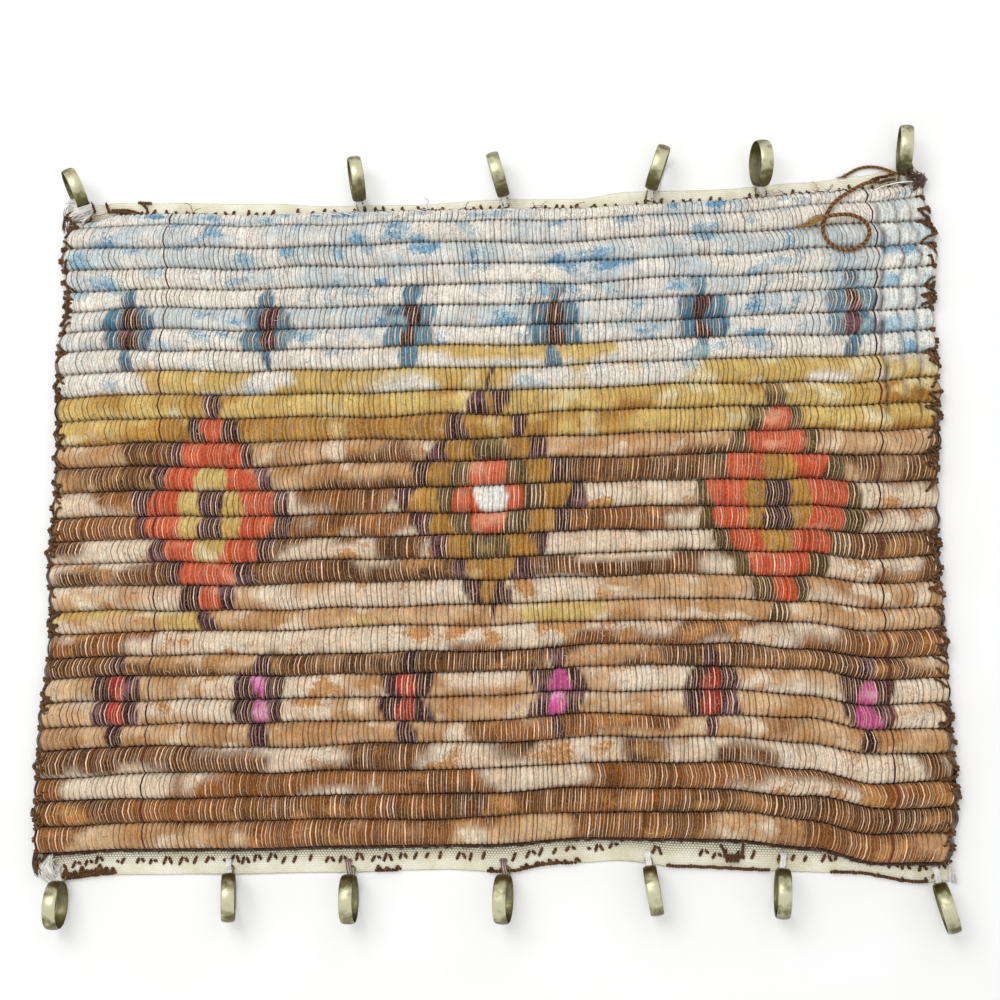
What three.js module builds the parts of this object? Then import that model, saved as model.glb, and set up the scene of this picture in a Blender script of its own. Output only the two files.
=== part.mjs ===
// A woven wool tapestry lying face up: one ribbed wool cloth, a heading tape behind its top and bottom
// edges, and flat-band curtain rings whose wire eyelets are sewn to the tapes.
// Millimetres, +Z up, +X to the right, +Y towards the top edge. The cloth rests on the plane z = 0.
import * as THREE from 'three';

// ---------------------------------------------------------------- driving dimensions
const grooveHeight = 5.5;      // wool left over the floor between two ribs
const ribRoundness = 0.62;     // 1 is a sine rib, smaller is fuller
const tapeThickness = 1.2;
const tapeWidth = 32;
const pieceGap = 0.3;          // air between two pieces that touch on the real object
const ledgeHeight = tapeThickness + pieceGap;   // underside of the wool where it lies on a tape
const ledgeBlend = 4;          // length over which the underside comes down off the tape

const ringOuterRadius = 20;
const ringBoreRadius = 19;
const ringBand = 11;           // width of the flat band
const ringCrown = 0.3;         // how far the band's middle stands proud of its edges
const ringSegments = 24;

const eyeletWire = 1.6;
const eyeletLength = 11;       // outside length of the wire loop
const eyeletWidth = 7;         // outside width of the wire loop
const eyeletRootAngle = THREE.MathUtils.degToRad(40);   // on the rim, below the ring's middle height

// One entry for each woven rib, from the top edge down: its height across the cloth, and its crest
// over the floor.
const ribs = [
  { height: 11.5, crest: 9.5 }, { height: 20.5, crest: 13.5 }, { height: 20, crest: 13 },
  { height: 19.5, crest: 13.5 }, { height: 18, crest: 13 }, { height: 20, crest: 14 },
  { height: 18.5, crest: 13.5 }, { height: 20, crest: 14 }, { height: 21.5, crest: 14.5 },
  { height: 21.5, crest: 14 }, { height: 21.5, crest: 14.5 }, { height: 21, crest: 14 },
  { height: 22.5, crest: 15 }, { height: 22.5, crest: 14.5 }, { height: 21, crest: 14 },
  { height: 19.5, crest: 13.5 }, { height: 20, crest: 14 }, { height: 22, crest: 14.5 },
  { height: 18, crest: 13 }, { height: 21.5, crest: 14 }, { height: 18, crest: 13 },
  { height: 20.5, crest: 14 }, { height: 20.5, crest: 14 }, { height: 19.5, crest: 13.5 },
  { height: 22, crest: 14.5 }, { height: 21, crest: 14 }, { height: 20, crest: 13.5 },
  { height: 22.5, crest: 14 },
];
const ribFractions = [0.17, 0.5, 0.83];       // where a rib's section has points between its two grooves
const swells = [               // slow waves in the rovings' thickness, with their lengths both ways
  { share: 0.07, along: 41, across: 9 },
  { share: 0.05, along: 17, across: -13 },
];

// The uneven edges, as y over x for the long edges and x over y for the selvedges.
const topEdge = [
  { at: -384, edge: 281.5 }, { at: -358, edge: 281.5 }, { at: -334, edge: 281.5 }, { at: -290, edge: 281 },
  { at: -200, edge: 276.5 }, { at: -100, edge: 276 }, { at: 0, edge: 274 }, { at: 90, edge: 272 },
  { at: 200, edge: 274 }, { at: 330, edge: 279 }, { at: 384, edge: 281 },
];
const bottomEdge = [
  { at: -384, edge: -285 }, { at: -300, edge: -281 }, { at: -200, edge: -280 }, { at: -110, edge: -277.5 },
  { at: 0, edge: -276 }, { at: 90, edge: -270 }, { at: 200, edge: -271 }, { at: 265, edge: -277 },
  { at: 322, edge: -289 }, { at: 384, edge: -288 },
];
const leftEdge = [
  { at: -285, edge: -384 }, { at: -240, edge: -387 }, { at: -190, edge: -386 }, { at: -90, edge: -380 },
  { at: -40, edge: -384 }, { at: 50, edge: -381 }, { at: 150, edge: -385 }, { at: 200, edge: -379 },
  { at: 250, edge: -384 }, { at: 283, edge: -377 },
];
const rightEdge = [
  { at: -289, edge: 376 }, { at: -236, edge: 384 }, { at: -130, edge: 381 }, { at: -40, edge: 379 },
  { at: 10, edge: 380 }, { at: 100, edge: 386 }, { at: 170, edge: 384 }, { at: 225, edge: 389 },
  { at: 281, edge: 380 },
];
const scallop = 2.5;           // how far a rib's turned end stands out past the groove beside it
const cornerDip = { from: -334, to: -358, depth: 6.5 };   // where the first rib narrows to the left corner
const topTapeEdge = [
  { at: -373, edge: 293 }, { at: -330, edge: 295 }, { at: -290, edge: 293 }, { at: -200, edge: 289 },
  { at: -130, edge: 284 }, { at: -55, edge: 282.5 }, { at: 5, edge: 284.5 }, { at: 85, edge: 282.5 },
  { at: 128, edge: 287 }, { at: 205, edge: 286 }, { at: 284, edge: 289.5 }, { at: 332, edge: 293.5 },
  { at: 366, edge: 300.5 }, { at: 382, edge: 294 },
];
const bottomTapeEdge = [
  { at: -371, edge: -308 }, { at: -319, edge: -303 }, { at: -222, edge: -302 }, { at: -132, edge: -300 },
  { at: -29, edge: -297 }, { at: 15, edge: -299 }, { at: 61, edge: -292 }, { at: 113, edge: -289 },
  { at: 161, edge: -294 }, { at: 238, edge: -296.5 }, { at: 299, edge: -298 }, { at: 352, edge: -305 },
  { at: 376, edge: -303.5 },
];
const topLedge = 31;           // how far in from the top edge the wool lies on the tape
const bottomLedge = 24;

// One entry for each ring: its middle, its turn about the vertical and its lean to the right, in degrees.
const topRings = [
  { x: -369, y: 301.5, turn: -27, lean: 18 },
  { x: -111, y: 301.5, turn: -10, lean: 12 },
  { x: 15, y: 300.5, turn: -15, lean: 0 },
  { x: 155, y: 301, turn: 19, lean: 4 },
  { x: 244, y: 301, turn: -3, lean: 11 },
  { x: 366, y: 309, turn: 5, lean: -4 },
];
const bottomRings = [
  { x: -360, y: -326, turn: -1, lean: 6 },
  { x: -211.5, y: -318.5, turn: 1, lean: 14 },
  { x: -110.5, y: -319, turn: 1, lean: 2 },
  { x: 17, y: -318, turn: -1, lean: -5 },
  { x: 139, y: -310.5, turn: 9, lean: 0 },
  { x: 242, y: -312, turn: -3, lean: 0 },
  { x: 369.5, y: -322, turn: 15, lean: -6 },
];

// The two loose ends of brown yarn at the top right corner, each from its last stitch to its free end.
const longTail = {
  diameter: 3.3,
  steps: 48,
  route: [
    [346, 287.5, 3.2], [340, 286.6, 4.8], [333.5, 283.8, 8.4], [326, 279.4, 11.6], [317, 274, 13],
    [308.5, 267.8, 14.6], [301.5, 259.8, 16.3], [296.6, 249.6, 15.6], [295, 239, 15.6],
    [300, 229.5, 15.2], [310, 223, 15.8], [321, 223, 15.8],
    [330, 229, 15.2], [334, 238.5, 15.6], [329.5, 248, 15.6], [319, 253, 16.4], [306, 252.6, 19],
    [294, 250.4, 19.6], [285, 247, 17.4], [279, 244.5, 16],
  ],
};
const shortTail = {
  diameter: 2.6,
  steps: 18,
  route: [
    [375, 286, 3.2], [372, 289.4, 6.4], [366, 290.8, 8.6], [359.5, 292.6, 7.2], [353, 297, 4.2],
    [346, 300.4, 1.8], [337, 301.4, 1.5], [329, 300, 1.5], [322, 296.4, 2], [316, 292.8, 3],
  ],
};

// ---------------------------------------------------------------- helpers
// Reads an uneven edge at a place between its entries, with a smooth turn at each entry.
function edgeAt(table, place) {
  const last = table.length - 1;
  if (place <= table[0].at) return table[0].edge;
  if (place >= table[last].at) return table[last].edge;
  const next = table.findIndex((entry) => entry.at > place);
  const from = table[next - 1];
  const to = table[next];
  const share = (place - from.at) / (to.at - from.at);
  return THREE.MathUtils.lerp(from.edge, to.edge, THREE.MathUtils.smoothstep(share, 0, 1));
}

function makeMesh(name, geometry, material) {
  const mesh = new THREE.Mesh(geometry, material);
  mesh.name = name;
  return mesh;
}

// ---------------------------------------------------------------- cloth
const clothHeight = ribs.reduce((sum, rib) => sum + rib.height, 0);

// Height of a rib's rounded top at a share of the way from one groove to the next.
function ribProfile(rib, share) {
  return grooveHeight + (rib.crest - grooveHeight) * Math.sin(Math.PI * share) ** ribRoundness;
}

// The straight section that the cloth is drawn out from: down from the top edge over every rib, and back
// along the underside, which steps up over both tapes.
function clothSection() {
  const outline = [new THREE.Vector2(0, grooveHeight)];
  let start = 0;
  for (const rib of ribs) {
    for (const share of ribFractions) {
      outline.push(new THREE.Vector2(start + share * rib.height, ribProfile(rib, share)));
    }
    start += rib.height;
    outline.push(new THREE.Vector2(start, grooveHeight));
  }
  outline.push(new THREE.Vector2(clothHeight, ledgeHeight));
  outline.push(new THREE.Vector2(clothHeight - bottomLedge, ledgeHeight));
  outline.push(new THREE.Vector2(clothHeight - bottomLedge - ledgeBlend, 0));
  outline.push(new THREE.Vector2(topLedge + ledgeBlend, 0));
  outline.push(new THREE.Vector2(topLedge, ledgeHeight));
  outline.push(new THREE.Vector2(0, ledgeHeight));
  return new THREE.Shape(outline);
}

// How far a turned rib end stands out at a distance down from the top edge: most at the crest of each rib.
function scallopAt(down) {
  let start = 0;
  for (const rib of ribs) {
    if (down <= start + rib.height) {
      return scallop * Math.sin(Math.PI * (down - start) / rib.height);
    }
    start += rib.height;
  }
  return 0;
}

// How much thicker or thinner the roving is at a place, as a share of the rib's height over its grooves.
function ribSwell(x, down) {
  return swells.reduce(
    (sum, swell) => sum + swell.share * Math.sin(x / swell.along + down / swell.across), 0);
}

function makeCloth() {
  const endSteps = [0, 3, 8];            // closer sections where the turned ends round down
  const endShares = [0.4, 0.82, 1];      // share of the full height on those sections
  const middleSteps = 20;
  const steps = middleSteps + 2 * (endSteps.length - 1);
  // The section is drawn out from the right selvedge to the left one, then every point goes to its place.
  const geometry = new THREE.ExtrudeGeometry(clothSection(), { depth: 1, steps, bevelEnabled: false });
  const positions = geometry.attributes.position;
  for (let i = 0; i < positions.count; i += 1) {
    const down = positions.getX(i);
    const nominalHeight = positions.getY(i);
    const step = Math.round(positions.getZ(i) * steps);
    const fromEnd = Math.min(step, steps - step);
    const share = down / clothHeight;
    const nominalY = THREE.MathUtils.lerp(topEdge[0].edge, bottomEdge[0].edge, share);
    const left = edgeAt(leftEdge, nominalY) - scallopAt(down);
    const right = edgeAt(rightEdge, nominalY) + scallopAt(down);
    const inner = endSteps[endSteps.length - 1];
    let x = 0;
    if (fromEnd < endSteps.length - 1) {
      x = step < steps / 2 ? right - endSteps[fromEnd] : left + endSteps[fromEnd];
    } else {
      const along = (step - endSteps.length + 1) / middleSteps;
      x = THREE.MathUtils.lerp(right - inner, left + inner, along);
    }
    const evenY = THREE.MathUtils.lerp(edgeAt(topEdge, x), edgeAt(bottomEdge, x), share);
    const cornered = THREE.MathUtils.smoothstep(-x, -cornerDip.from, -cornerDip.to);
    const y = evenY - cornerDip.depth * cornered * Math.max(0, 1 - down / ribs[0].height);
    const endShare = endShares[Math.min(fromEnd, endShares.length - 1)];
    let z = nominalHeight;
    if (nominalHeight >= grooveHeight) {
      const swollen = grooveHeight + (nominalHeight - grooveHeight) * (1 + ribSwell(x, down));
      z = ledgeHeight + (swollen - ledgeHeight) * endShare;
    }
    positions.setXYZ(i, x, y, z);
  }
  geometry.computeVertexNormals();
  const material = new THREE.MeshStandardMaterial({ color: 0xa58f80, roughness: 0.95, metalness: 0 });
  return makeMesh('tapestry_cloth', geometry, material);
}

// ---------------------------------------------------------------- tapes
// A tape follows its uneven outer edge and reaches its full width in under the wool.
function makeTape(name, edgeTable, towardsCloth) {
  const stepLength = 15;
  const from = edgeTable[0].at;
  const to = edgeTable[edgeTable.length - 1].at;
  const count = Math.ceil((to - from) / stepLength);
  const outer = [];
  for (let i = 0; i <= count; i += 1) {
    const x = from + (to - from) * i / count;
    outer.push(new THREE.Vector2(x, edgeAt(edgeTable, x)));
  }
  const inner = outer.map((point) => new THREE.Vector2(point.x, point.y + towardsCloth * tapeWidth));
  inner.reverse();
  const shape = new THREE.Shape([...outer, ...inner]);
  const geometry = new THREE.ExtrudeGeometry(shape, { depth: tapeThickness, bevelEnabled: false });
  const material = new THREE.MeshStandardMaterial({ color: 0xdcd6bd, roughness: 0.9, metalness: 0 });
  return makeMesh(name, geometry, material);
}

// ---------------------------------------------------------------- rings and eyelets
// A flat band with a slight crown, turned about its axis and stood on its rim with its axis along X.
function ringGeometry(lean) {
  const half = ringBand / 2;
  const profile = [
    new THREE.Vector2(ringBoreRadius, -half),
    new THREE.Vector2(ringOuterRadius - ringCrown, -half),
    new THREE.Vector2(ringOuterRadius, 0),
    new THREE.Vector2(ringOuterRadius - ringCrown, half),
    new THREE.Vector2(ringBoreRadius, half),
    new THREE.Vector2(ringBoreRadius, -half),
  ];
  const geometry = new THREE.LatheGeometry(profile, ringSegments);
  geometry.rotateZ(Math.PI / 2);
  geometry.rotateY(lean);
  geometry.computeBoundingBox();
  return geometry.translate(0, 0, -geometry.boundingBox.min.z);
}

// A closed wire loop: a torus drawn out lengthwise. It slopes from the ring's rim down to the tape.
function eyeletGeometry(lean, ringMiddleHeight) {
  const wireRadius = eyeletWire / 2;
  const loopRadius = eyeletWidth / 2 - wireRadius;
  const wireLength = eyeletLength - eyeletWire;
  const stretch = wireLength / 2 - loopRadius;
  const wireSides = 6;
  const loopSegments = 14;
  const geometry = new THREE.TorusGeometry(loopRadius, wireRadius, wireSides, loopSegments);
  geometry.rotateZ(Math.PI / loopSegments);
  const positions = geometry.attributes.position;
  for (let i = 0; i < positions.count; i += 1) {
    positions.setY(i, positions.getY(i) + Math.sign(positions.getY(i)) * stretch);
  }
  const reach = ringOuterRadius + pieceGap + wireRadius;
  const root = new THREE.Vector3(
    -reach * Math.sin(eyeletRootAngle) * Math.sin(lean),
    -reach * Math.cos(eyeletRootAngle),
    ringMiddleHeight - reach * Math.sin(eyeletRootAngle) * Math.cos(lean),
  );
  const drop = root.z - (tapeThickness + pieceGap + wireRadius);
  const slope = Math.asin(drop / wireLength);
  geometry.rotateX(slope);
  geometry.translate(root.x, root.y - wireLength * Math.cos(slope) / 2, root.z - drop / 2);
  return geometry;
}

// The pieces of one ring, in a group whose +Y points away from the cloth.
function makeRing(side, number, place, away) {
  const turn = THREE.MathUtils.degToRad(place.turn);
  const lean = THREE.MathUtils.degToRad(place.lean) * away;
  const group = new THREE.Group();
  group.position.set(place.x, place.y, 0);
  group.rotation.z = away > 0 ? -turn : Math.PI + turn;
  const metal = new THREE.MeshStandardMaterial({ color: 0xa8a584, roughness: 0.32, metalness: 0.9 });
  const wire = new THREE.MeshStandardMaterial({ color: 0x9c9465, roughness: 0.4, metalness: 0.9 });
  const ring = ringGeometry(lean);
  ring.computeBoundingBox();
  const middleHeight = (ring.boundingBox.min.z + ring.boundingBox.max.z) / 2;
  group.add(makeMesh(`ring_${side}_${number}`, ring, metal));
  group.add(makeMesh(`eyelet_${side}_${number}`, eyeletGeometry(lean, middleHeight), wire));
  return group;
}

// ---------------------------------------------------------------- yarn tails
function makeTail(name, tail) {
  const sides = 8;
  const section = [];
  for (let i = 0; i < sides; i += 1) {
    const angle = 2 * Math.PI * i / sides;
    section.push(new THREE.Vector2(Math.cos(angle), Math.sin(angle)).multiplyScalar(tail.diameter / 2));
  }
  const route = tail.route.map((point) => new THREE.Vector3(...point));
  const curve = new THREE.CatmullRomCurve3(route, false, 'centripetal');
  const settings = { steps: tail.steps, extrudePath: curve, bevelEnabled: false };
  const geometry = new THREE.ExtrudeGeometry(new THREE.Shape(section), settings);
  const material = new THREE.MeshStandardMaterial({ color: 0x4a2c1e, roughness: 0.95, metalness: 0 });
  return makeMesh(name, geometry, material);
}

// ---------------------------------------------------------------- assembly
const tapestry = new THREE.Group();
tapestry.add(makeCloth());
tapestry.add(makeTape('tape_top', topTapeEdge, -1));
tapestry.add(makeTape('tape_bottom', bottomTapeEdge, 1));
topRings.forEach((place, index) => tapestry.add(makeRing('top', index + 1, place, 1)));
bottomRings.forEach((place, index) => tapestry.add(makeRing('bottom', index + 1, place, -1)));

// The origin is under the middle of everything but the loose yarn.
const middle = new THREE.Box3().setFromObject(tapestry).getCenter(new THREE.Vector3());
tapestry.add(makeTail('yarn_tail_long', longTail));
tapestry.add(makeTail('yarn_tail_short', shortTail));
tapestry.position.set(-middle.x, -middle.y, 0);

export default tapestry;
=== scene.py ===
import bisect
import bpy
import bmesh
import math
import random
from mathutils import Matrix, Vector, noise


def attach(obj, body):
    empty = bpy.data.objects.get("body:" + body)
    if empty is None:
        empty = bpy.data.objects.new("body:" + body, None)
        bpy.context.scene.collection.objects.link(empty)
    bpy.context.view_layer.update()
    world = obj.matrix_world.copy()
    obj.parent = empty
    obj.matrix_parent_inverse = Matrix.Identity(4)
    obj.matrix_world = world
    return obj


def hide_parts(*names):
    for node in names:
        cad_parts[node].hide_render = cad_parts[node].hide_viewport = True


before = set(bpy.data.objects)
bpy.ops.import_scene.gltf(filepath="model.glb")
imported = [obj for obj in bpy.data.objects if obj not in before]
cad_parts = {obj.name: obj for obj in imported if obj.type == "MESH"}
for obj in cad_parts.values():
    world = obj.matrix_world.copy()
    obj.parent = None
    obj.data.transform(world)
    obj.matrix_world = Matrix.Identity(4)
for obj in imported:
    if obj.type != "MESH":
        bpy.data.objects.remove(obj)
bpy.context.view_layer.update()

# A woven wool tapestry lying face up, with a heading tape behind its top and bottom edges and
# flat-band curtain rings sewn to the tapes. Lengths in the dictionaries are millimetres, and metres for
# the camera and the stage.
scene = bpy.context.scene
mm = 0.001
drawingShift = Vector((-0.967, 8.303, 0.0))     # from the drawing's own middle to the frame's


def place(x, y, z):
    return (Vector((x, y, z)) + drawingShift) * mm


def mix(a, b, share):
    return a + (b - a) * share


def clamp(value, low=0.0, high=1.0):
    return min(high, max(low, value))


def easeStep(low, high, value):
    share = clamp((value - low) / (high - low))
    return share * share * (3 - 2 * share)


def wave(x, y=0.0, z=0.0):
    return noise.noise(Vector((x, y, z)))


# ---- camera
viewSetup = {
    "place": (0.12683, -0.16175, 1.2),
    "turn": (0.15095, 0.09516, -0.003877),
    "lens": 50.82,
    "sensor": 36.0,
}
cameraData = bpy.data.cameras.new("viewCamera")
cameraData.lens = viewSetup["lens"]
cameraData.sensor_width = viewSetup["sensor"]
cameraData.clip_start = 0.01
viewCamera = bpy.data.objects.new("viewCamera", cameraData)
viewCamera.location = viewSetup["place"]
viewCamera.rotation_euler = viewSetup["turn"]
scene.collection.objects.link(viewCamera)
scene.camera = viewCamera
print("camera set")


# ---- colours and shader helpers
def shade(code, alpha=1.0):
    # a written colour, turned into the linear values that the nodes take
    parts = [int(code[i:i + 2], 16) / 255 for i in (0, 2, 4)]
    linear = [c / 12.92 if c <= 0.04045 else ((c + 0.055) / 1.055) ** 2.4 for c in parts]
    return (*linear, alpha)


class NodeBench:
    # one node tree with short calls for the nodes that the finishes use
    def __init__(self, tree):
        self.tree = tree

    def add(self, kind, **values):
        node = self.tree.nodes.new(kind)
        for key, value in values.items():
            setattr(node, key, value)
        return node

    def feed(self, socket, value):
        if hasattr(value, "is_linked"):
            self.tree.links.new(value, socket)
        elif value is not None:
            socket.default_value = value

    def maths(self, operation, *values):
        node = self.add("ShaderNodeMath", operation=operation)
        for socket, value in zip(node.inputs, values):
            self.feed(socket, value)
        return node.outputs[0]

    def times(self, a, b):
        return self.maths("MULTIPLY", a, b)

    def plus(self, a, b):
        return self.maths("ADD", a, b)

    def minus(self, a, b):
        return self.maths("SUBTRACT", a, b)

    def timesPlus(self, a, b, c):
        return self.maths("MULTIPLY_ADD", a, b, c)

    def unsigned(self, a):
        return self.maths("ABSOLUTE", a)

    def highest(self, a, b):
        return self.maths("MAXIMUM", a, b)

    def span(self, value, low, high, toLow=0.0, toHigh=1.0, smooth=True):
        kind = "SMOOTHSTEP" if smooth else "LINEAR"
        node = self.add("ShaderNodeMapRange", interpolation_type=kind)
        for name, v in zip(("Value", "From Min", "From Max", "To Min", "To Max"),
                           (value, low, high, toLow, toHigh)):
            self.feed(node.inputs[name], v)
        return node.outputs["Result"]

    def blend(self, share, a, b, kind="MIX"):
        node = self.add("ShaderNodeMix", data_type="RGBA", blend_type=kind)
        self.feed(node.inputs[0], share)
        self.feed(node.inputs[6], a)
        self.feed(node.inputs[7], b)
        return node.outputs[2]

    def noise(self, vector, scale, detail=3.0, roughness=0.55, distortion=0.0):
        node = self.add("ShaderNodeTexNoise")
        self.feed(node.inputs["Vector"], vector)
        for name, v in (("Scale", scale), ("Detail", detail), ("Roughness", roughness),
                        ("Distortion", distortion)):
            self.feed(node.inputs[name], v)
        return node.outputs[0]

    def stretch(self, vector, scale, move=(0, 0, 0)):
        node = self.add("ShaderNodeMapping")
        self.feed(node.inputs["Vector"], vector)
        self.feed(node.inputs["Scale"], scale)
        self.feed(node.inputs["Location"], move)
        return node.outputs[0]

    def join(self, x, y, z=0.0):
        node = self.add("ShaderNodeCombineXYZ")
        for socket, value in zip(node.inputs, (x, y, z)):
            self.feed(socket, value)
        return node.outputs[0]

    def split(self, vector):
        node = self.add("ShaderNodeSeparateXYZ")
        self.feed(node.inputs[0], vector)
        return node.outputs

    def bump(self, height, strength, distance):
        node = self.add("ShaderNodeBump")
        self.feed(node.inputs["Height"], height)
        self.feed(node.inputs["Strength"], strength)
        self.feed(node.inputs["Distance"], distance)
        return node.outputs[0]

    def objectPlace(self):
        return self.add("ShaderNodeTexCoord").outputs["Object"]

    def attribute(self, name, output="Color"):
        return self.add("ShaderNodeAttribute", attribute_name=name).outputs[output]

    def uv(self, name):
        return self.add("ShaderNodeUVMap", uv_map=name).outputs[0]

    def seen(self):
        # 1 for what the camera sees, also in a mirror or through glass, and 0 for light on other things
        path = self.add("ShaderNodeLightPath").outputs
        return self.highest(path["Is Camera Ray"],
                            self.highest(path["Is Glossy Ray"], path["Is Transmission Ray"]))

    def group(self, made, **values):
        node = self.add("ShaderNodeGroup", node_tree=made)
        for key, value in values.items():
            self.feed(node.inputs[key], value)
        return node.outputs


def openGroup(name, inputs, outputs):
    tree = bpy.data.node_groups.new(name, "ShaderNodeTree")
    kinds = {"value": "NodeSocketFloat", "colour": "NodeSocketColor", "vector": "NodeSocketVector"}
    for label, kind in inputs:
        tree.interface.new_socket(label, in_out="INPUT", socket_type=kinds[kind])
    for label, kind in outputs:
        tree.interface.new_socket(label, in_out="OUTPUT", socket_type=kinds[kind])
    bench = NodeBench(tree)
    return bench, bench.add("NodeGroupInput").outputs, bench.add("NodeGroupOutput").inputs


def openMaterial(name, roughness, sheen=0.0, metallic=0.0, specular=0.35):
    material = bpy.data.materials.new(name)
    material.use_nodes = True
    bench = NodeBench(material.node_tree)
    shader = material.node_tree.nodes["Principled BSDF"]
    shader.inputs["Roughness"].default_value = roughness
    shader.inputs["Metallic"].default_value = metallic
    shader.inputs["Specular IOR Level"].default_value = specular
    shader.inputs["Sheen Weight"].default_value = sheen
    shader.inputs["Sheen Roughness"].default_value = 0.45
    return material, bench, shader.inputs


# loose fibres, clumps and uneven dye, for every wool surface
bench, given, made = openGroup(
    "woolGrain", [("Place", "vector")],
    [("Tone", "value"), ("Height", "value"), ("Fuzz", "value"), ("Clump", "value"),
     ("Dark", "value"), ("Pale", "value")])
spot = given["Place"]
fuzz = bench.noise(bench.stretch(spot, (1.0, 0.62, 1.0)), 830.0, 2.0, 0.8)
streak = bench.noise(bench.stretch(spot, (1.0, 0.15, 0.3), (0.7, 0.2, 0.4)), 760.0, 2.0, 0.6)
clump = bench.noise(spot, 300.0, 2.0, 0.6)
dye = bench.noise(spot, 75.0, 2.0, 0.5)
tone = bench.plus(bench.span(fuzz, 0.36, 0.64, -0.25, 0.21, False),
                  bench.span(streak, 0.36, 0.64, -0.2, 0.15, False))
for part, reach in ((clump, 0.11), (dye, 0.06)):
    tone = bench.plus(tone, bench.span(part, 0.35, 0.65, -reach, reach, False))
bench.feed(made["Tone"], bench.plus(tone, 1.08))
height = bench.timesPlus(streak, 0.5, bench.times(fuzz, 0.8))
bench.feed(made["Height"], bench.timesPlus(clump, 0.8, height))
bench.feed(made["Fuzz"], bench.minus(fuzz, 0.5))
bench.feed(made["Clump"], bench.minus(clump, 0.5))
hairs = bench.noise(bench.stretch(spot, (1.0, 0.55, 1.0), (3.0, 7.0, 5.0)), 900.0, 2.0, 0.7)
bench.feed(made["Dark"], bench.span(hairs, 0.54, 0.66))
bench.feed(made["Pale"], bench.span(hairs, 0.44, 0.32))
woolGrain = bench.tree

# soft patches of a second and a third colour along each roving, with masks for painted shade in the creases
# at the warps and in the grooves
bench, given, made = openGroup(
    "rovingPatches",
    [("Weave", "vector"), ("Fuzz", "value"), ("Clump", "value"),
     ("Base", "colour"), ("Second", "colour"), ("Fleck", "colour")],
    [("Color", "colour"), ("Crease", "value"), ("GrooveShade", "value"), ("Between", "value")])
across, down, unused = bench.split(given["Weave"])
rib = bench.maths("FLOOR", down)
share = bench.maths("FRACT", down)
patchPlace = bench.join(bench.times(across, 0.14), bench.timesPlus(rib, 7.7, bench.times(share, 0.95)),
                        bench.times(rib, 3.1))
otherPlace = bench.stretch(patchPlace, (1.15, 1.0, 1.0), (31.0, 17.0, 5.0))
speckle = bench.timesPlus(given["Fuzz"], 0.75, bench.times(given["Clump"], 0.5))
patch = bench.plus(bench.noise(patchPlace, 1.0, 1.0, 0.5), speckle)
fleck = bench.timesPlus(speckle, -0.45, bench.noise(otherPlace, 1.0, 1.0, 0.5))
wash = bench.blend(bench.span(patch, 0.33, 0.66), given["Base"], given["Second"])
wash = bench.blend(bench.span(fleck, 0.56, 0.7), wash, given["Fleck"])
# each tuft between two warps has a slightly warmer or cooler tinge
tuftPlace = bench.join(bench.times(across, 0.6), bench.timesPlus(rib, 5.3, share), 6.0)
tinge = bench.blend(bench.span(bench.noise(tuftPlace, 1.0, 1.0, 0.5), 0.34, 0.66, 0.0, 1.0, False),
                    shade("fffaf1"), shade("f8f9f3"))
bench.feed(made["Color"], bench.blend(1.0, wash, tinge, "MULTIPLY"))
# the crease at each warp: a mask that the wool's finish darkens as painted shade, and that also dents its
# bump
pulled = bench.noise(bench.join(bench.times(across, 0.07), rib, 4.0), 1.0, 2.0, 0.6)
single = bench.noise(bench.join(bench.maths("ROUND", across), rib, 9.0), 0.73, 0.0)
pastMiddle = bench.minus(bench.maths("FRACT", across), 0.5)
fromMiddle = bench.unsigned(pastMiddle)
crease = bench.times(bench.span(fromMiddle, 0.35, 0.5), bench.span(pulled, 0.35, 0.6, 0.45, 1.0))
bench.feed(made["Crease"], bench.times(crease, bench.span(single, 0.35, 0.62, 0.35, 1.0)))
# a mask for painted shade in each groove, strongest under the warps
fromCrest = bench.unsigned(bench.minus(share, 0.5))
rough = bench.timesPlus(given["Fuzz"], 0.3, bench.timesPlus(given["Clump"], 0.3, fromCrest))
groove = bench.highest(bench.span(rough, 0.42, 0.5), bench.times(bench.span(rough, 0.3, 0.46), 0.22))
bench.feed(made["GrooveShade"], bench.times(groove, bench.span(fromMiddle, 0.1, 0.42, 0.5, 1.0)))
# a thin line halfway between two warps, that wanders and comes and goes: a pale thread colour on dark wool
# and painted crease shade on pale wool
wobble = bench.noise(bench.join(bench.times(across, 0.37), bench.times(down, 1.3), 14.0), 1.0, 1.0)
halfway = bench.unsigned(bench.timesPlus(bench.minus(wobble, 0.5), 0.5, pastMiddle))
shown = bench.noise(bench.join(bench.maths("FLOOR", across), bench.times(rib, 1.7), 19.0), 0.77, 0.0)
bench.feed(made["Between"], bench.times(bench.span(halfway, 0.1, 0.035),
                                        bench.span(shown, 0.3, 0.6, 0.1, 1.0)))
rovingPatches = bench.tree

# a fine spiral of fibres on every spun strand, from its own map: across it and along it
bench, given, made = openGroup(
    "spunStrand", [("Map", "vector"), ("Place", "vector"), ("Turns", "value")],
    [("Tone", "value"), ("Height", "value")])
along, around, unused = bench.split(given["Map"])
spiral = bench.maths("SINE", bench.times(2 * math.pi, bench.timesPlus(along, given["Turns"], around)))
hair = bench.noise(given["Place"], 1900.0, 2.0, 0.6)
dye = bench.noise(given["Place"], 130.0, 2.0, 0.5)
tone = bench.plus(bench.span(hair, 0.3, 0.7, -0.25, 0.2, False),
                  bench.span(dye, 0.3, 0.7, -0.18, 0.18, False))
bench.feed(made["Tone"], bench.plus(1.0, bench.timesPlus(spiral, 0.1, tone)))
bench.feed(made["Height"], bench.timesPlus(spiral, 0.5, hair))
spunStrand = bench.tree


def toned(bench, colour, tone):
    # multiplies a colour by a grey value
    return bench.blend(1.0, colour, bench.join(tone, tone, tone), "MULTIPLY")


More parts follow.
